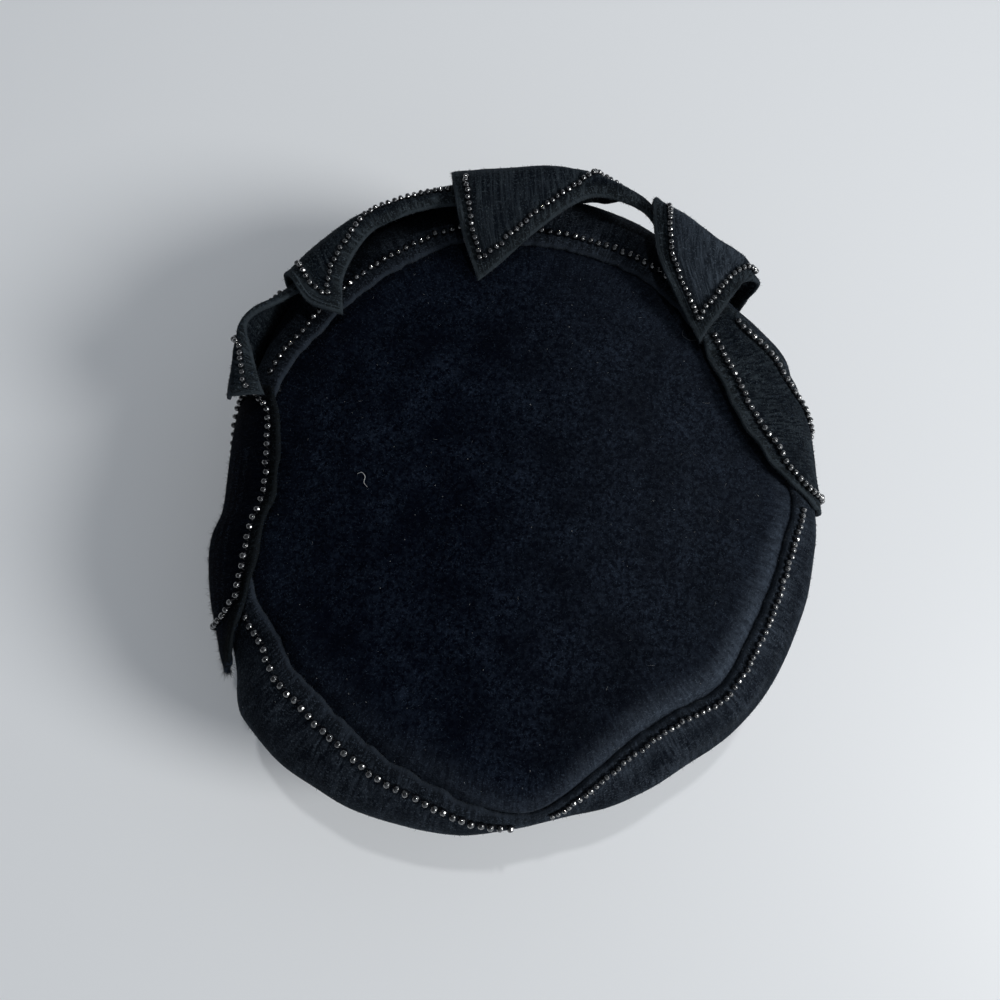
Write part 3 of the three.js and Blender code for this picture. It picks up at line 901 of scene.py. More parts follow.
def leaf_edges(place):
    """Points close together along all edges of a leaf."""
    u, t = np.linspace(0, 1, EDGE_STEPS_ALONG), np.linspace(0, 1, EDGE_STEPS_ACROSS)
    return np.concatenate([place(0, t), place(1, t), place(u, 0), place(u, 1)])


def leaf_sides(middle, normal, t, from_edge, row, seed):
    """The upper and the under side of a leaf, with its waves, its curled edges and its seam."""
    depth, _ = drawn_in(middle + normal * FELT / 2, row)
    swell = uneven(middle, LEAF_WAVES, seed) * np.clip(t, LOOSE_LEAST, 1)
    curl = CURL * bump(from_edge, CURL_HALF) * waves(middle, CURL_LENGTH, seed + len(LEAF_WAVES))
    middle = middle + (swell + curl)[..., None] * normal
    half = FELT / 2 * thinned(from_edge)
    rise = half - depth * smoothstep(from_edge, 0, SEAM_FROM_EDGE)
    return middle + rise[..., None] * normal, middle - half[..., None] * normal


def leaf_streaks(points, middle, seed):
    """Coordinates that run along the pile of a leaf, for streaks in it."""
    index, _ = nearest(points, middle.reshape(-1, 3))
    along = lengths(middle[:, LEAF_ACROSS // 2])[index // LEAF_ACROSS]
    across = lengths(middle[LEAF_ALONG // 2])[index % LEAF_ACROSS]
    return np.stack([along, STREAK_SHARE * across, np.full(len(along), STREAK_SHIFT * seed)], axis=1)


def make_leaf(name, place, row, seed):
    u, t = np.meshgrid(
        toward_ends(LEAF_ALONG, LEAF_CROWDED_ALONG), toward_ends(LEAF_ACROSS, LEAF_CROWDED_ACROSS),
        indexing="ij")
    middle = place(u, t)
    edges = leaf_edges(place)
    from_edge = nearest(middle.reshape(-1, 3), edges)[1].reshape(u.shape)
    sides = leaf_sides(middle, leaf_normal(place, u, t), t, from_edge, row, seed)
    obj, kind = slab(name + "_felt", *sides)
    points = vertices_mm(obj)
    near = np.maximum(nearest(points, edges)[1] - FELT / 2, 0)
    bare = margin_tone(near, nearest(points, row["path"])[1])
    attribute(obj, "margin", np.where(kind == UNDER, UNDER_BARE, 1) * bare)
    attribute(obj, "rim", np.maximum(kind == CUT, bump(near, LEAF_RIM_HALF)))
    # painted light over the face of the leaf, away from its edges
    face = smoothstep(near, *LEAF_PAINTED_LIGHT_SPAN) * (kind == UPPER)
    attribute(obj, "brushed_and_painted_light", LEAF_PAINTED_LIGHT[name] * face)
    attribute(obj, "combed", np.ones(len(kind)))
    streaks(obj, leaf_streaks(points, middle, seed))
    return obj, Grid(*sides, False)


def vertices_mm(obj):
    flat = np.empty(len(obj.data.vertices) * 3)
    obj.data.vertices.foreach_get("co", flat)
    return flat.reshape(-1, 3) / MM - MIDDLE


# Paths of the bead rows, on the felt's upper side

CUFF_ROW_STEPS = 240
LEAF_ROW_STEPS = 400
STANDING_STOPS = 12  # places along a leaf through which its row is led
END_STOPS = 7
FLAT_STOPS = 14
MOST_INSET = 0.9
INSET_STEPS = 181
PAST_FOLD = 0.05  # how far past the fold the row along the pointed end goes on
ARCH = 0.4  # how far out the arch at the start of a joined row reaches, as a share of the start
ARCH_GAP = 0.03


def cuff_row(limits):
    angles = np.linspace(*limits, CUFF_ROW_STEPS)
    downs = edge(angles) + edge(angles, "beads")
    path = surface(angles, downs, GAP + FELT)
    return {"path": path, "normals": unit(surface(angles, downs, GAP + FELT + 1) - path)}


def inset(walk, margin):
    """How far a walk across a leaf has to go to be a margin away from its start."""
    shares = np.linspace(0, MOST_INSET, INSET_STEPS)
    points = np.array([walk(share) for share in shares])
    past = np.nonzero(np.linalg.norm(points - points[0], axis=1) >= margin)[0]
    return shares[past[0]] if len(past) else MOST_INSET


def leaf_row(place, ut):
    """A row of beads through places (u, t) of a leaf."""
    stops = np.array([(u, t, 0) for u, t in ut], float)
    u, t, _ = catmull(stops, np.linspace(0, 1, LEAF_ROW_STEPS)).T
    normals = leaf_normal(place, u, t)
    return {"path": place(u, t) + normals * FELT / 2, "normals": normals}


def standing_row(place, start, first_margin, settled, margin, end_margin):
    near_point = (1 + FOLD_SHARE) / 2
    end_u = 1 - inset(lambda share: place(1 - share, near_point), end_margin or margin / 2)

    def free_t(u):
        wide = first_margin + (margin - first_margin) * min((u - start) / (settled - start), 1)
        return 1 - inset(lambda share: place(u, 1 - share), wide)

    row = [(u, free_t(u)) for u in np.linspace(start, end_u, STANDING_STOPS)]
    if end_margin:
        back = np.linspace(free_t(end_u), FOLD_SHARE - PAST_FOLD, END_STOPS)[1:]
        row += [(end_u, t) for t in back]
    return leaf_row(place, row)


def flat_row(place, start, end, margin, joins):
    def share(u):
        return margin / np.linalg.norm(place(u, 0) - place(u, 1))

    row = [(u, 1 - share(u)) for u in np.linspace(start, end, FLAT_STOPS)]
    row += [(u, share(u)) for u in np.linspace(end, start, FLAT_STOPS)]
    if joins:
        row = [(start * ARCH, 0.5 + ARCH_GAP), *row, (start * ARCH, 0.5 - ARCH_GAP)]
    return leaf_row(place, row)


# Beads and the thread that holds them

BEAD_RINGS = table(["place", "radius"], [
    [-0.80, 0.26],
    [-0.76, 0.56],
    [-0.44, 0.88],
    [0.0, 1.0],
    [0.44, 0.88],
    [0.76, 0.56],
    [0.80, 0.26],
])
BEAD_FACETS = 10
BEAD_YAW = 0.22  # how far beads are turned out of the row
BEAD_ALONG = 0.14  # how far they are off their places, along the row and across it
BEAD_ACROSS = 0.26
BEAD_LIFT = (-0.12, 0.16)  # and down and up
BEAD_SPREAD = (0.93, 1.05)  # of their sizes

THREAD_SIDES = 5
# A stitch: places along the hole and up, in radii of its bead
THREAD_ROUTE = table(["along", "up"], [
    [-1.02, -1.15],
    [-1.0, -0.55],
    [-0.8, -0.08],
    [0, 0.0],
    [0.8, -0.08],
    [1.0, -0.55],
    [1.02, -1.15],
])


def bead_shape():
    """One bead of radius 1, its hole along X; every other ring is turned by half a facet, so that
    it is cut all round in small triangles."""
    points, faces = [], []
    for k, (place, radius) in enumerate(zip(BEAD_RINGS["place"], BEAD_RINGS["radius"])):
        for i in range(BEAD_FACETS):
            turn = 2 * math.pi * (i + 0.5 * (k % 2)) / BEAD_FACETS
            points.append([place, radius * math.cos(turn), radius * math.sin(turn)])
    last = len(points) - BEAD_FACETS
    for k, i in itertools.product(range(len(BEAD_RINGS["place"]) - 1), range(BEAD_FACETS)):
        a, b = k * BEAD_FACETS + i, k * BEAD_FACETS + (i + 1) % BEAD_FACETS
        c, d = a + BEAD_FACETS, b + BEAD_FACETS
        faces += [[a, c, b], [b, c, d]] if k % 2 == 0 else [[a, d, b], [a, c, d]]
    for i in range(BEAD_FACETS):
        j = (i + 1) % BEAD_FACETS
        faces += [[i, j, last + j], [i, last + j, last + i]]
    return np.array(points), faces


BEAD_POINTS, BEAD_FACES = bead_shape()


def sewn(name, row):
    """The row with the spacing and the size of its beads."""
    pitch, size = BEAD_SIZES[name]
    return {**row, "pitch": pitch, "size": size}


def bead_frames(row, rng):
    """Middle, hole direction, side and up of each bead of a row, with the small irregularities of
    beads that are sewn on by hand."""
    at, up = evenly(row["path"], row["normals"], row["pitch"])
    along = np.gradient(at, axis=0)
    along = unit(along - up * np.sum(along * up, axis=1, keepdims=True))
    side = np.cross(up, along)
    count = len(at)
    yaw = rng.normal(0, BEAD_YAW, count)[:, None]
    hole = along * np.cos(yaw) + side * np.sin(yaw)
    side = np.cross(up, hole)
    shift = along * rng.normal(0, BEAD_ALONG, (count, 1)) + side * rng.normal(0, BEAD_ACROSS, (count, 1))
    sunk = BEAD_SUNK + SEAM_DEPTH / 2
    lift = up * (row["size"] / 2 - sunk + rng.uniform(*BEAD_LIFT, (count, 1)))
    return at + shift + lift, hole, side, up


def tube(path, side, thickness):
    """Points and faces of a closed tube along a path; side is a direction across it."""
    lift = np.cross(unit(np.gradient(path, axis=0)), side)
    side = np.broadcast_to(side, path.shape)
    turns = np.linspace(0, 2 * math.pi, THREAD_SIDES, endpoint=False)[:, None]
    ring = side[:, None] * np.cos(turns) + lift[:, None] * np.sin(turns)
    points = (path[:, None] + thickness / 2 * ring).reshape(-1, 3)
    start = list(range(THREAD_SIDES))
    end = [len(points) - THREAD_SIDES + j for j in start]
    return points, slab_faces(len(path), THREAD_SIDES, False).tolist() + [start[::-1], end]


def stitch(middle, hole, up, radius):
    """The thread of one bead: out of the felt, through the hole and back in."""
    route = np.outer(THREAD_ROUTE["along"], hole) + np.outer(THREAD_ROUTE["up"], up)
    return tube(middle + radius * route, np.cross(up, hole), THREAD)


def make_beads(name, row, seed):
    """A row of beads, and its thread."""
    rng = np.random.default_rng(seed)
    beads, stitches = [], []
    for middle, hole, side, up in zip(*bead_frames(row, rng)):
        size = row["size"] / 2 * rng.uniform(*BEAD_SPREAD, 3)
        roll = rng.uniform(0, 2 * math.pi)
        across = side * math.cos(roll) + up * math.sin(roll)
        turn = np.stack([hole, across, np.cross(hole, across)])
        beads.append((middle + (BEAD_POINTS * size) @ turn, BEAD_FACES))
        stitches.append(stitch(middle, hole, up, row["size"] / 2))
    made = (("_sewn", beads), ("_thread", stitches))
    return [mesh_object(name + ending, *joined(parts)) for ending, parts in made]


# Fibres

FIBRE_RINGS = ((0.0, 1.0), (0.5, 0.8), (1.0, 0.25))  # shares of the length and of the thickness
FIBRE_SIDES = 3
FIBRE_BEND = 0.5  # how far the tips bend aside, as a share of the length
HAIR_FACES = [[1, 0, 2], [0, 1, 3], [1, 2, 3], [2, 0, 3]]
HAIR_SPREAD = (0.7, 1.2)  # of the thickness
HAIR_DEPTH = 0.8  # thickness the other way, as a share


def fibres(name, roots, ways, sizes, thickness, seed):
    """Many thin tapered fibres as one mesh: roots and directions (count, 3), lengths and
    thicknesses (count, 1)."""
    rng = np.random.default_rng(seed)
    count = len(roots)
    side = unit(np.cross(ways, rng.normal(size=(count, 3))))
    other = np.cross(ways, side)
    bend = side * rng.normal(0, FIBRE_BEND, (count, 1)) + other * rng.normal(0, FIBRE_BEND, (count, 1))
    points = np.empty((count, len(FIBRE_RINGS), FIBRE_SIDES, 3))
    for k, (share, width) in enumerate(FIBRE_RINGS):
        middle = roots + sizes * (ways * share + bend * share ** 2)
        for j in range(FIBRE_SIDES):
            turn = 2 * math.pi * j / FIBRE_SIDES
            out = side * math.cos(turn) + other * math.sin(turn)
            points[:, k, j] = middle + thickness / 2 * width * out
    corners = len(FIBRE_RINGS) * FIBRE_SIDES
    start = np.arange(FIBRE_SIDES)
    caps = np.stack([start[::-1], corners - FIBRE_SIDES + start])
    faces = []
    for part in (slab_faces(len(FIBRE_RINGS), FIBRE_SIDES, False), caps):
        every = corners * np.arange(count)[:, None, None] + part
        faces += every.reshape(-1, part.shape[1]).tolist()
    return mesh_object(name, points.reshape(-1, 3), faces)


def hairs(name, roots, ways, sizes, thickness, rng):
    """Many short straight hairs as one mesh, each a long pointed tetrahedron."""
    count = len(roots)
    side = unit(np.cross(ways, rng.normal(size=(count, 3))))
    other = np.cross(ways, side)
    wide = thickness * rng.uniform(*HAIR_SPREAD, (count, 1))
    corners = [side * wide / 2, -side * wide / 2, other * wide * HAIR_DEPTH, ways * sizes]
    points = np.stack([roots + corner for corner in corners], axis=1)
    faces = len(corners) * np.arange(count)[:, None, None] + np.array(HAIR_FACES)
    return mesh_object(name, points.reshape(-1, 3), faces.reshape(-1, 3).tolist())


# Fibres along raw edges: how far from the middle of the felt they start, how deep in it, how much
# their directions stray, and how their lengths are spread about the length asked for
FUZZ_OVER = 0.8
FUZZ_SUNK = 0.2
FUZZ_STRAY = 0.6
FUZZ_LENGTHS = (2.2, 0.45)
FUZZ_LONGEST = 3.2


def edge_fuzz(line, normals, outward, per_mm, length, rng):
    """Roots, directions and lengths of hairs that stand out of a raw edge, given as a line of
    points with directions."""
    along = lengths(line)
    count = int(along[-1] * per_mm)
    places = rng.uniform(0, along[-1], count)
    at, normals, outward = (interpolated(places, along, values) for values in (line, normals, outward))
    roots = at + normals * rng.uniform(-FUZZ_OVER, FUZZ_OVER, (count, 1)) - FUZZ_SUNK * outward
    ways = unit(outward + FUZZ_STRAY * rng.normal(size=(count, 3)))
    sizes = length * rng.gamma(*FUZZ_LENGTHS, (count, 1))
    return roots, ways, np.minimum(sizes, FUZZ_LONGEST * length)


def scattered(grid, count, rng):
    """Random places on the upper side of the felt, as many on each bit as its area asks for, with
    the directions out of the felt, along its rows and across them."""
    points = grid.upper
    if grid.closed:
        points = np.concatenate([points, points[:1]])
    along = points[1:, :-1] - points[:-1, :-1]
    across = points[:-1, 1:] - points[:-1, :-1]
    normal = np.cross(across, along) if grid.closed else np.cross(along, across)
    area = np.linalg.norm(normal, axis=-1)
    cell = rng.choice(area.size, count, p=(area / area.sum()).ravel())
    i, j = np.unravel_index(cell, area.shape)
    p, q = rng.uniform(size=(2, count, 1))
    low = points[i, j] * (1 - p) + points[i + 1, j] * p
    high = points[i, j + 1] * (1 - p) + points[i + 1, j + 1] * p
    return low * (1 - q) + high * q, unit(normal[i, j]), unit(along[i, j]), unit(across[i, j])


PILE_THICKNESS = 0.17
PILE_SWIRL = 0.6  # how far the pile is combed this way and that in patches
PILE_SWIRL_LENGTH = 16
PILE_STRAY = 0.6
PILE_LIFT = (0.12, 0.42)  # how steeply its fibres stand
UPRIGHT_SHARE = 0.15  # of its fibres
UPRIGHT_LIFT = 0.9
PILE_SUNK = 0.08
PILE_LENGTHS = (0.5, 1.3)  # as shares of the length asked for


def pile(name, grid, count, comb, length, seed, thickness=PILE_THICKNESS, lift=0.0):
    """The felt's pile: short tapered fibres that lie almost flat, combed along and across the felt
    by the shares given and otherwise at random."""
    rng = np.random.default_rng(seed)
    roots, normals, along, across = scattered(grid, count, rng)
    swirl = PILE_SWIRL * waves(roots, PILE_SWIRL_LENGTH, seed + 1)[:, None]
    swirl = swirl + rng.normal(0, PILE_STRAY, (count, 1))
    stray = rng.normal(0, PILE_STRAY, (count, 1))
    ways = unit(across * (comb[1] + stray) + along * (comb[0] + swirl))
    upright = UPRIGHT_LIFT * (rng.uniform(size=(count, 1)) < UPRIGHT_SHARE)
    ways = unit(ways + normals * (lift + rng.uniform(*PILE_LIFT, (count, 1)) + upright))
    sizes = length * rng.uniform(*PILE_LENGTHS, (count, 1))
    return hairs(name, roots - PILE_SUNK * normals, ways, sizes, thickness, rng)


FUZZ_PER_MM = 8
FUZZ_LENGTH = 0.7
FUZZ_THICKNESS = 0.11
CUFF_FUZZ_SEED = 300
EDGE_WALK = 80  # places along a leaf's edge between which its fibres are spread
END_WALK = 60
FUZZ_FROM = 0.1  # t from which on the ends of a leaf show
WITHIN = 0.97  # the edge's places, drawn in towards the middle, show which way is out
WITHIN_U = 0.015
WITHIN_T = 0.01


def cuff_fuzz(grid):
    """Fibres along the cuff's raw edge."""
    line, inner, under = (
        np.concatenate([ring, ring[:1]])
        for ring in (grid.upper[:, 0], grid.upper[:, 2], grid.under[:, 0]))
    rng = np.random.default_rng(CUFF_FUZZ_SEED)
    found = edge_fuzz(
        (line + under) / 2, unit(line - under), unit(line - inner), FUZZ_PER_MM, FUZZ_LENGTH, rng)
    return hairs("cuff_edge_fuzz", *found, FUZZ_THICKNESS, rng)


TIP_PER_MM = 50
TIP_LENGTH = 1.9
TIP_WALK = 40
TIP_WITHIN = 0.98  # u of the places from which its hairs point away
SHAG_PER_MM = 7
SHAG_LENGTH = 1.0
SHAG_FROM = 0.3  # u from which on the nap is shaggy
SHAG_LINES = np.linspace(0.05, 0.65, 7)  # t of the lines on which its hairs stand
SHAG_STEP = 0.05


def frayed_end(place, rng):
    """The further hairs of the left leaf: a tuft at its frayed end, and a shaggy nap on its outer
    part."""
    t = np.linspace(0, 1, TIP_WALK)
    u = np.ones(TIP_WALK)
    end = place(u, t)
    away = unit(end - place(TIP_WITHIN * u, t))
    yield edge_fuzz(end, leaf_normal(place, u, t), away, TIP_PER_MM, TIP_LENGTH, rng)
    u = np.linspace(SHAG_FROM, 1, EDGE_WALK)
    for t in SHAG_LINES:
        normals = leaf_normal(place, u, t)
        across = unit(place(u, t + SHAG_STEP) - place(u, t))
        nap = place(u, t) + normals * FELT / 2
        yield edge_fuzz(nap, across, normals, SHAG_PER_MM, SHAG_LENGTH, rng)


def leaf_fuzz(name, place, seed):
    """Fibres along the edges of a leaf that show: the inner or free edge and both ends, with the
    hairs of the frayed leaf."""
    u = np.linspace(0, 1, EDGE_WALK)
    t = np.linspace(FUZZ_FROM, 1, END_WALK)
    around_u = np.concatenate([np.zeros(END_WALK), u, np.ones(END_WALK)])
    around_t = np.concatenate([t, np.ones(EDGE_WALK), t[::-1]])
    line = place(around_u, around_t)
    inside = place(WITHIN * around_u + WITHIN_U, WITHIN * around_t + WITHIN_T)
    normals = leaf_normal(place, around_u, around_t)
    rng = np.random.default_rng(seed)
    found = edge_fuzz(line, normals, unit(line - inside), FUZZ_PER_MM, FUZZ_LENGTH, rng)
    if name == FRAYED_LEAF_IN_PAINTED_SHADE:
        for frayed in frayed_end(place, rng):
            found = [np.concatenate(pair) for pair in zip(found, frayed)]
    return hairs(name + "_fuzz", *found, FUZZ_THICKNESS, rng)


LINT_THREADS = (0.9, 2.6)  # lengths of the short threads
LINT_BITS = (0.15, 0.4)  # lengths of the specks of dust
LINT_THIN = 0.06
LINT_THICK = 0.2
LINT_RISE = 0.12  # how steeply it stands up
LINT_OFF = 0.4  # how far off the felt it starts


def make_lint(name, grid, threads, bits, seed):
    """Lint on the felt: short curled threads and specks of dust."""
    rng = np.random.default_rng(seed)
    count = threads + bits
    roots, normals, along, across = scattered(grid, count, rng)
    turn = rng.uniform(0, 2 * math.pi, (count, 1))
    ways = along * np.cos(turn) + across * np.sin(turn) + LINT_RISE * normals
    sizes = np.concatenate([rng.uniform(*LINT_THREADS, threads), rng.uniform(*LINT_BITS, bits)])
    thickness = np.append(np.full(threads, LINT_THIN), rng.uniform(LINT_THIN, LINT_THICK, bits))
    return fibres(
        name, roots + LINT_OFF * normals, ways, sizes[:, None], thickness[:, None], seed + 1)


# Threads that lie on the crown, one curled at the left and one loose end below the point of the
# leaf at the back right: angles and distances down the crown
LOOSE_END = [(34.5, 98), (37, 96.5), (38, 93.5), (39, 91.5), (41, 91), (42, 93)]
CURLED_THREAD = [
    (-173.5, 76.5), (-176.3, 74), (-177.5, 71), (-179.2, 68), (179.6, 65.2), (-178.7, 63.6),
    (-176.4, 63.8), (-174.5, 62)]
LYING_OFF = 0.6
LYING_STEPS = 12  # between two places


def loose_thread(name, places, thickness):
    """A thread that lies on the crown, through places given by angle and distance down."""
    path = np.array([surface(angle, down, LYING_OFF) for angle, down in places])
    path = catmull(path, np.linspace(0, 1, LYING_STEPS * len(path)))
    side = unit(np.cross(unit(np.gradient(path, axis=0)), [0.0, 0.0, 1.0]))
    return mesh_object(name, *tube(path, side, thickness))


# Materials: a tree is the node tree of a material or of the world

def set_inputs(tree, node, inputs):
    """Sets a node's inputs by name or number, each to a value or linked to a socket."""
    for name, value in inputs.items():
        if isinstance(value, bpy.types.NodeSocket):
            tree.links.new(value, node.inputs[name])
        else:
            node.inputs[name].default_value = value


def add_node(tree, kind, inputs=None, **settings):
    node = tree.nodes.new(kind)
    for name, value in settings.items():
        setattr(node, name, value)
    set_inputs(tree, node, inputs or {})
    return node


def new_material(name):
    material = bpy.data.materials.new(name)
    material.use_nodes = True
    return material, material.node_tree


def finish_shader(tree, **inputs):
    """Sets the inputs of the main shader, with _ for a space in their names."""
    named = {name.replace("_", " "): value for name, value in inputs.items()}
    set_inputs(tree, tree.nodes["Principled BSDF"], named)


def stored(tree, name, output="Fac"):
    """What is stored for each vertex under a name."""
    return add_node(tree, "ShaderNodeAttribute", attribute_name=name).outputs[output]


def own_place(tree):
    return add_node(tree, "ShaderNodeTexCoord").outputs["Object"]


def noise(tree, place, scale, detail, roughness):
    """Noise over places in metres; the scale is in features to the metre."""
    inputs = {"Vector": place, "Scale": scale, "Detail": detail, "Roughness": roughness}
    return add_node(tree, "ShaderNodeTexNoise", inputs).outputs["Fac"]


def mapped(tree, source, low, high, to_low, to_high):
    inputs = {"Value": source, "From Min": low, "From Max": high, "To Min": to_low, "To Max": to_high}
    return add_node(tree, "ShaderNodeMapRange", inputs).outputs["Result"]


def opaque(colour):
    return colour if isinstance(colour, bpy.types.NodeSocket) else (*colour, 1.0)


def mixed(tree, factor, first, second):
    """Mixes two colours, each a socket or a colour."""
    inputs = {"Factor": factor, 6: opaque(first), 7: opaque(second)}
    return add_node(tree, "ShaderNodeMix", inputs, data_type="RGBA").outputs[2]


def calculated(tree, operation, first, second):
    inputs = {0: first, 1: second}
    return add_node(tree, "ShaderNodeMath", inputs, operation=operation).outputs["Value"]


RELIEF = 0.0005  # height of the fine relief, in metres


def raised(tree, height, strength):
    """A normal that follows a height, for fine relief."""
    inputs = {"Strength": strength, "Distance": RELIEF, "Height": height}
    return add_node(tree, "ShaderNodeBump", inputs).outputs["Normal"]


def dimmed(colour, share):
    return [share * c for c in colour]


# Colours, as dark as black velour is
CROWN_DARK = (0.0002, 0.0007, 0.0028)
CROWN_LIGHT = (0.0150, 0.0230, 0.0390)
CROWN_BARE = (0.010, 0.0135, 0.018)
CUFF_DARK = (0.0012, 0.0022, 0.0044)
CUFF_LIGHT = (0.052, 0.066, 0.086)
CUFF_BARE = (0.013, 0.017, 0.0235)
LEAF_DARK = (0.0008, 0.0018, 0.0034)
LEAF_LIGHT = (0.037, 0.048, 0.056)
LEAF_BARE = (0.017, 0.022, 0.026)
# colour of brushed-up pile, and of painted light on puffs and faces
BRUSHED_AND_PAINTED_LIGHT_FELT = (0.066, 0.084, 0.110)
LOOSE_FIBRE = (0.036, 0.042, 0.050)
PILE_FIBRE = (0.008, 0.0135, 0.023)
LINT = (0.42, 0.43, 0.44)
COTTON = (0.008, 0.008, 0.01)
GLASS_DARK = (0.0006, 0.0008, 0.0014)
GLASS_DUSTY = (0.004, 0.005, 0.006)
PILE_CONTRAST = (0.1, 2.4)

# Noise in the materials: features to the metre, detail and roughness, and then the part of it that
# is read and the numbers which that becomes
STREAKS = ((800, 3, 0.6), (0.42, 0.7, 0, 1))
GRAIN = ((520, 3, 0.7), (0.42, 0.7, 0, 1))
SPECKS = ((1000, 3, 0.85), (0.55, 0.7, 0, 1.5))
MOTTLE = ((55, 4, 0.7), (0.34, 0.66, 0.15, 1.25))
FIBRE_SHADES = ((900, 2, 0.5), (0.38, 0.62, 0, 1))
DUST = (700, 3, 0.5)
DUST_ROUGHNESS = (0.35, 0.75, 0.03, 0.1)

GRAIN_SHARE = 0.45  # in the velour's lit fibres
SPECK_SHARE = 0.75
RAISED_SPAN = (0, 1, 0.2, 1.2)  # how unevenly the pile is brushed up
WORN_SPAN = (0.1, 0.8, 0, 1)
WORN_SHADES = (0.4, 3.0)  # darkest and lightest in a bare margin, as shares of its colour
RIM_SHADE = 1.3  # and at the very edge, where the line is partly a painted highlight
BEAD_CUTS = 900.0  # small facets to the metre


def shades(tree, place, look):
    kind, span = look
    return mapped(tree, noise(tree, place, *kind), *span)


def velour(name, dark, light, bare, sheen):
    """Black velour felt: a mottled pile with streaks and specks where its fibres catch the light, lighter
    where it is brushed up and where light is painted on, and a bare greyer margin along raw edges, with a
    lighter cut edge that is partly a painted highlight."""
    material, tree = new_material(name)
    place = own_place(tree)
    streak = shades(tree, stored(tree, "streak", "Vector"), STREAKS)
    pile_tone = mixed(tree, stored(tree, "combed"), shades(tree, place, GRAIN), streak)
    fibres_lit = calculated(
        tree, "ADD", calculated(tree, "MULTIPLY", pile_tone, GRAIN_SHARE),
        calculated(tree, "MULTIPLY", shades(tree, place, SPECKS), SPECK_SHARE))
    tone = calculated(tree, "MULTIPLY", shades(tree, place, MOTTLE), fibres_lit)
    felt = mixed(tree, tone, dark, light)
    # lighter where the pile is brushed up and where light is painted on
    brushed_and_painted_light_tone = calculated(tree, "MULTIPLY", stored(tree, "brushed_and_painted_light"), mapped(tree, fibres_lit, *RAISED_SPAN))
    felt = mixed(tree, brushed_and_painted_light_tone, felt, BRUSHED_AND_PAINTED_LIGHT_FELT)
    worn_shades = (dimmed(bare, share) for share in WORN_SHADES)
    worn = mixed(tree, mapped(tree, fibres_lit, *WORN_SPAN), *worn_shades)
    felt = mixed(tree, stored(tree, "margin"), felt, worn)
    # the lighter line at the cut edge: partly the cut felt, partly a painted highlight
    felt = mixed(tree, stored(tree, "rim"), felt, dimmed(bare, RIM_SHADE))
    finish_shader(
        tree, Base_Color=felt, Roughness=0.85, Specular_IOR_Level=0.02, Sheen_Weight=sheen,
        Sheen_Roughness=0.35, Sheen_Tint=(0.6, 0.8, 1.0, 1.0), Normal=raised(tree, fibres_lit, 0.8))
    return material


def fibre_material(name, colour, roughness, contrast=(0.7, 1.3)):
    """Thread or fibre in one colour, darker and lighter by the shares in contrast."""
    material, tree = new_material(name)
    shade = shades(tree, own_place(tree), FIBRE_SHADES)
    tone = mixed(tree, shade, *(dimmed(colour, share) for share in contrast))
    finish_shader(tree, Base_Color=tone, Roughness=roughness, Specular_IOR_Level=0.2)
    return material


def bead_glass():
    """Jet-black glass: near-black body with sharp gloss and small facets, and faint dust."""
    material, tree = new_material("jet_glass")
    place = own_place(tree)
    dust = noise(tree, place, *DUST)
    cuts = add_node(tree, "ShaderNodeTexVoronoi", {"Scale": BEAD_CUTS, "Vector": place})
    finish_shader(
        tree, Base_Color=mixed(tree, dust, GLASS_DARK, GLASS_DUSTY), IOR=2.05,
        Roughness=mapped(tree, dust, *DUST_ROUGHNESS), Coat_Weight=0.5, Coat_Roughness=0.03,
        Normal=raised(tree, cuts.outputs["Distance"], 0.5))
    return material


# Building the hat

SHADE = 0.4  # share of the light colours that is left on the leaf in painted shade
SHADE_BARE = 0.25  # and in its bare margin

NAP_ROWS = 16  # rows of the cuff next to its hem, with a raised pile
NAP_LIFT = 1.2  # how steeply its fibres stand
NAP_THICKNESS = 0.1
LEAF_COMB = (0.0, -1.0)  # the pile of a leaf lies towards its outer edge


def make_materials():
    """All materials by a short name."""
    # the darker pile fibres of the leaf in painted shade
    shaded_fibre = dimmed(PILE_FIBRE, SHADE)
    return {
        "crown": velour("crown_velour", CROWN_DARK, CROWN_LIGHT, CROWN_BARE, sheen=0.01),
        "cuff": velour("cuff_velour", CUFF_DARK, CUFF_LIGHT, CUFF_BARE, sheen=0.05),
        # painted shade: the left leaf's felt is darker, without sheen
        "shaded leaf": velour(
            "leaf_velour_painted_shade", CROWN_DARK, dimmed(CROWN_LIGHT, SHADE), dimmed(LEAF_BARE, SHADE_BARE),
            sheen=0.0),
        "leaf": velour("leaf_velour", LEAF_DARK, LEAF_LIGHT, LEAF_BARE, sheen=0.04),
        "loose": fibre_material("loose_fibre", LOOSE_FIBRE, roughness=0.8),
        "lying": fibre_material("pile_fibre", PILE_FIBRE, 0.8, PILE_CONTRAST),
        "shaded": fibre_material("shaded_fibre", shaded_fibre, 0.8, PILE_CONTRAST),
        "cotton": fibre_material("black_thread", COTTON, 0.6),
        "lint": fibre_material("lint", LINT, 0.9),
        "glass": bead_glass(),
    }


def dress(obj, material, slot, *replaced):
    obj.data.materials.append(material)
    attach(obj, "root")
    if replaced:
        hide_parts(*replaced)


def dress_beads(name, row, seed, looks, thread_slot):
    beads, thread = make_beads(name, row, seed)
    dress(beads, looks["glass"], "beads", name)
    dress(thread, looks["cotton"], thread_slot)


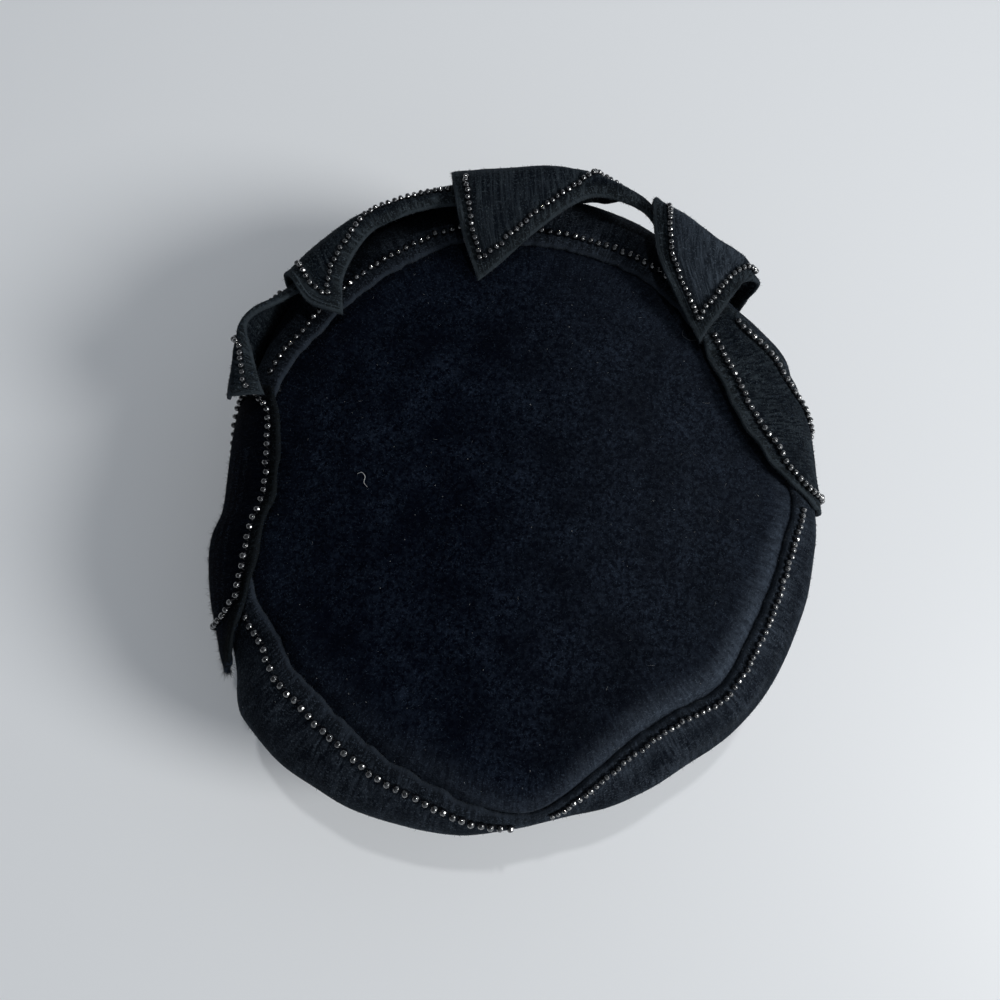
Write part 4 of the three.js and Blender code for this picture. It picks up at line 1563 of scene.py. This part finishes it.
def build_crown_and_cuff(looks):
    rows = {name: sewn(name, cuff_row(limits)) for name, limits in CUFF_BEADS.items()}
    crown, crown_made = make_crown()
    dress(crown, looks["crown"], "crown_velour", "crown")
    cuff, cuff_made = make_cuff(rows.values())
    dress(cuff, looks["cuff"], "cuff_velour", "cuff")
    for k, (name, row) in enumerate(rows.items()):
        dress_beads(name, row, 100 + k, looks, "cuff_velour")
    hair = pile("crown_pile", crown_made, count=30000, comb=(0.0, 0.2), length=1.1, seed=400)
    dress(hair, looks["lying"], "crown_velour")
    hair = pile("cuff_pile", cuff_made, count=20000, comb=(0.0, 1.0), length=1.2, seed=410)
    dress(hair, looks["lying"], "cuff_velour")
    dress(cuff_fuzz(cuff_made), looks["loose"], "cuff_velour")
    lowest = Grid(cuff_made.upper[:, -NAP_ROWS:], cuff_made.under, True)
    nap = pile("cuff_raised_pile", lowest, count=14000, comb=(0.0, 0.0), length=1.3, seed=412,
               thickness=NAP_THICKNESS, lift=NAP_LIFT)
    dress(nap, looks["loose"], "cuff_velour")
    return crown_made, cuff_made


def add_lint(crown_made, cuff_made, looks):
    bits = make_lint("crown_lint", crown_made, threads=50, bits=420, seed=500)
    dress(bits, looks["lint"], "crown_velour")
    bits = make_lint("cuff_lint", cuff_made, threads=16, bits=110, seed=510)
    dress(bits, looks["lint"], "cuff_velour")
    thread = loose_thread("curled_thread", CURLED_THREAD, thickness=0.2)
    dress(thread, looks["lint"], "crown_velour")
    thread = loose_thread("loose_end", LOOSE_END, thickness=0.26)
    dress(thread, looks["loose"], "crown_velour")


def build_leaf(k, name, place, row, looks):
    # the leaf in painted shade gets darker felt, pile and edge fibres
    dark = name == FRAYED_LEAF_IN_PAINTED_SHADE
    leaf, made = make_leaf(name, place, row, 200 + 5 * k)
    dress(leaf, looks["shaded leaf" if dark else "leaf"], "leaf_velour", name)
    dress_beads("beads_" + name, row, 120 + k, looks, "leaf_velour")
    hair = pile(name + "_pile", made, count=2600, comb=LEAF_COMB, length=1.1, seed=420 + k)
    dress(hair, looks["shaded" if dark else "lying"], "leaf_velour")
    dress(leaf_fuzz(name, place, 320 + k), looks["lying" if dark else "loose"], "leaf_velour")


def build_hat():
    looks = make_materials()
    made = build_crown_and_cuff(looks)
    places = {name: standing_place(rows) for name, rows in STANDING.items()}
    places.update({name: flat_place(rows) for name, rows in FLAT.items()})
    for k, (name, place) in enumerate(places.items()):
        if name in STANDING:
            row = standing_row(place, *STANDING_BEADS[name])
        else:
            row = flat_row(place, *FLAT_BEADS[name])
        build_leaf(k, name, place, sewn("beads_" + name, row), looks)
    add_lint(*made, looks)


# Stage

FLOOR_HALF = 4.0
FLOOR_COLOUR = (0.80, 0.82, 0.84)
LIT_POINT = (0.0, 0.0, 0.05)

# Lights: place, size, watts and colour
LIGHTS = {
    "window": ((1.95, -0.60, 1.30), 0.8, 46.0, (1.0, 0.99, 0.97)),
    "lamp": ((0.06, 0.34, 1.20), 0.05, 2.4, (1.0, 1.0, 1.0)),
}
ROOM_LIGHT_FROM = (0.5, -0.1, -0.86)  # the room is lighter to the right and low down
ROOM_STRENGTH = (0.02, 1.35)  # away from there and towards there
ROOM_COLOUR = (0.86, 0.92, 1.0)


def make_floor():
    corners = [(-1, -1), (1, -1), (1, 1), (-1, 1)]
    mesh = bpy.data.meshes.new("floor")
    mesh.from_pydata([(FLOOR_HALF * x, FLOOR_HALF * y, 0) for x, y in corners], [], [(0, 1, 2, 3)])
    floor = add_object("floor", mesh)
    material, tree = new_material("pale_floor")
    finish_shader(tree, Base_Color=opaque(FLOOR_COLOUR), Roughness=0.5)
    floor.data.materials.append(material)


def make_light(name, at, size, watts, colour):
    data = bpy.data.lights.new(name, "AREA")
    data.shape = "DISK"
    data.size = size
    data.energy = watts
    data.color = colour
    light = add_object(name, data)
    light.location = at
    light.rotation_euler = (Vector(LIT_POINT) - Vector(at)).to_track_quat("-Z", "Y").to_euler()


def make_room():
    """The light of the room itself, which is stronger from one direction."""
    world = bpy.data.worlds.new("room")
    world.use_nodes = True
    tree = world.node_tree
    direction = add_node(tree, "ShaderNodeTexCoord").outputs["Generated"]
    toward = add_node(
        tree, "ShaderNodeVectorMath", {0: direction, 1: ROOM_LIGHT_FROM}, operation="DOT_PRODUCT")
    strength = mapped(tree, toward.outputs["Value"], -1, 1, *ROOM_STRENGTH)
    set_inputs(tree, tree.nodes["Background"], {"Strength": strength, "Color": opaque(ROOM_COLOUR)})
    bpy.context.scene.world = world


def make_camera():
    data = bpy.data.cameras.new("camera")
    data.lens = CAMERA_LENS
    data.sensor_width = CAMERA_SENSOR
    data.clip_start = CAMERA_NEAR
    camera = add_object("camera", data)
    camera.location = (np.array(CAMERA_AT) + MIDDLE) * MM
    camera.rotation_euler = (math.radians(90 - CAMERA_DOWN), 0, 0)
    bpy.context.scene.camera = camera


make_camera()
build_hat()
make_floor()
for light_name, light in LIGHTS.items():
    make_light(light_name, *light)
make_room()
bpy.context.scene.view_settings.view_transform = "Standard"
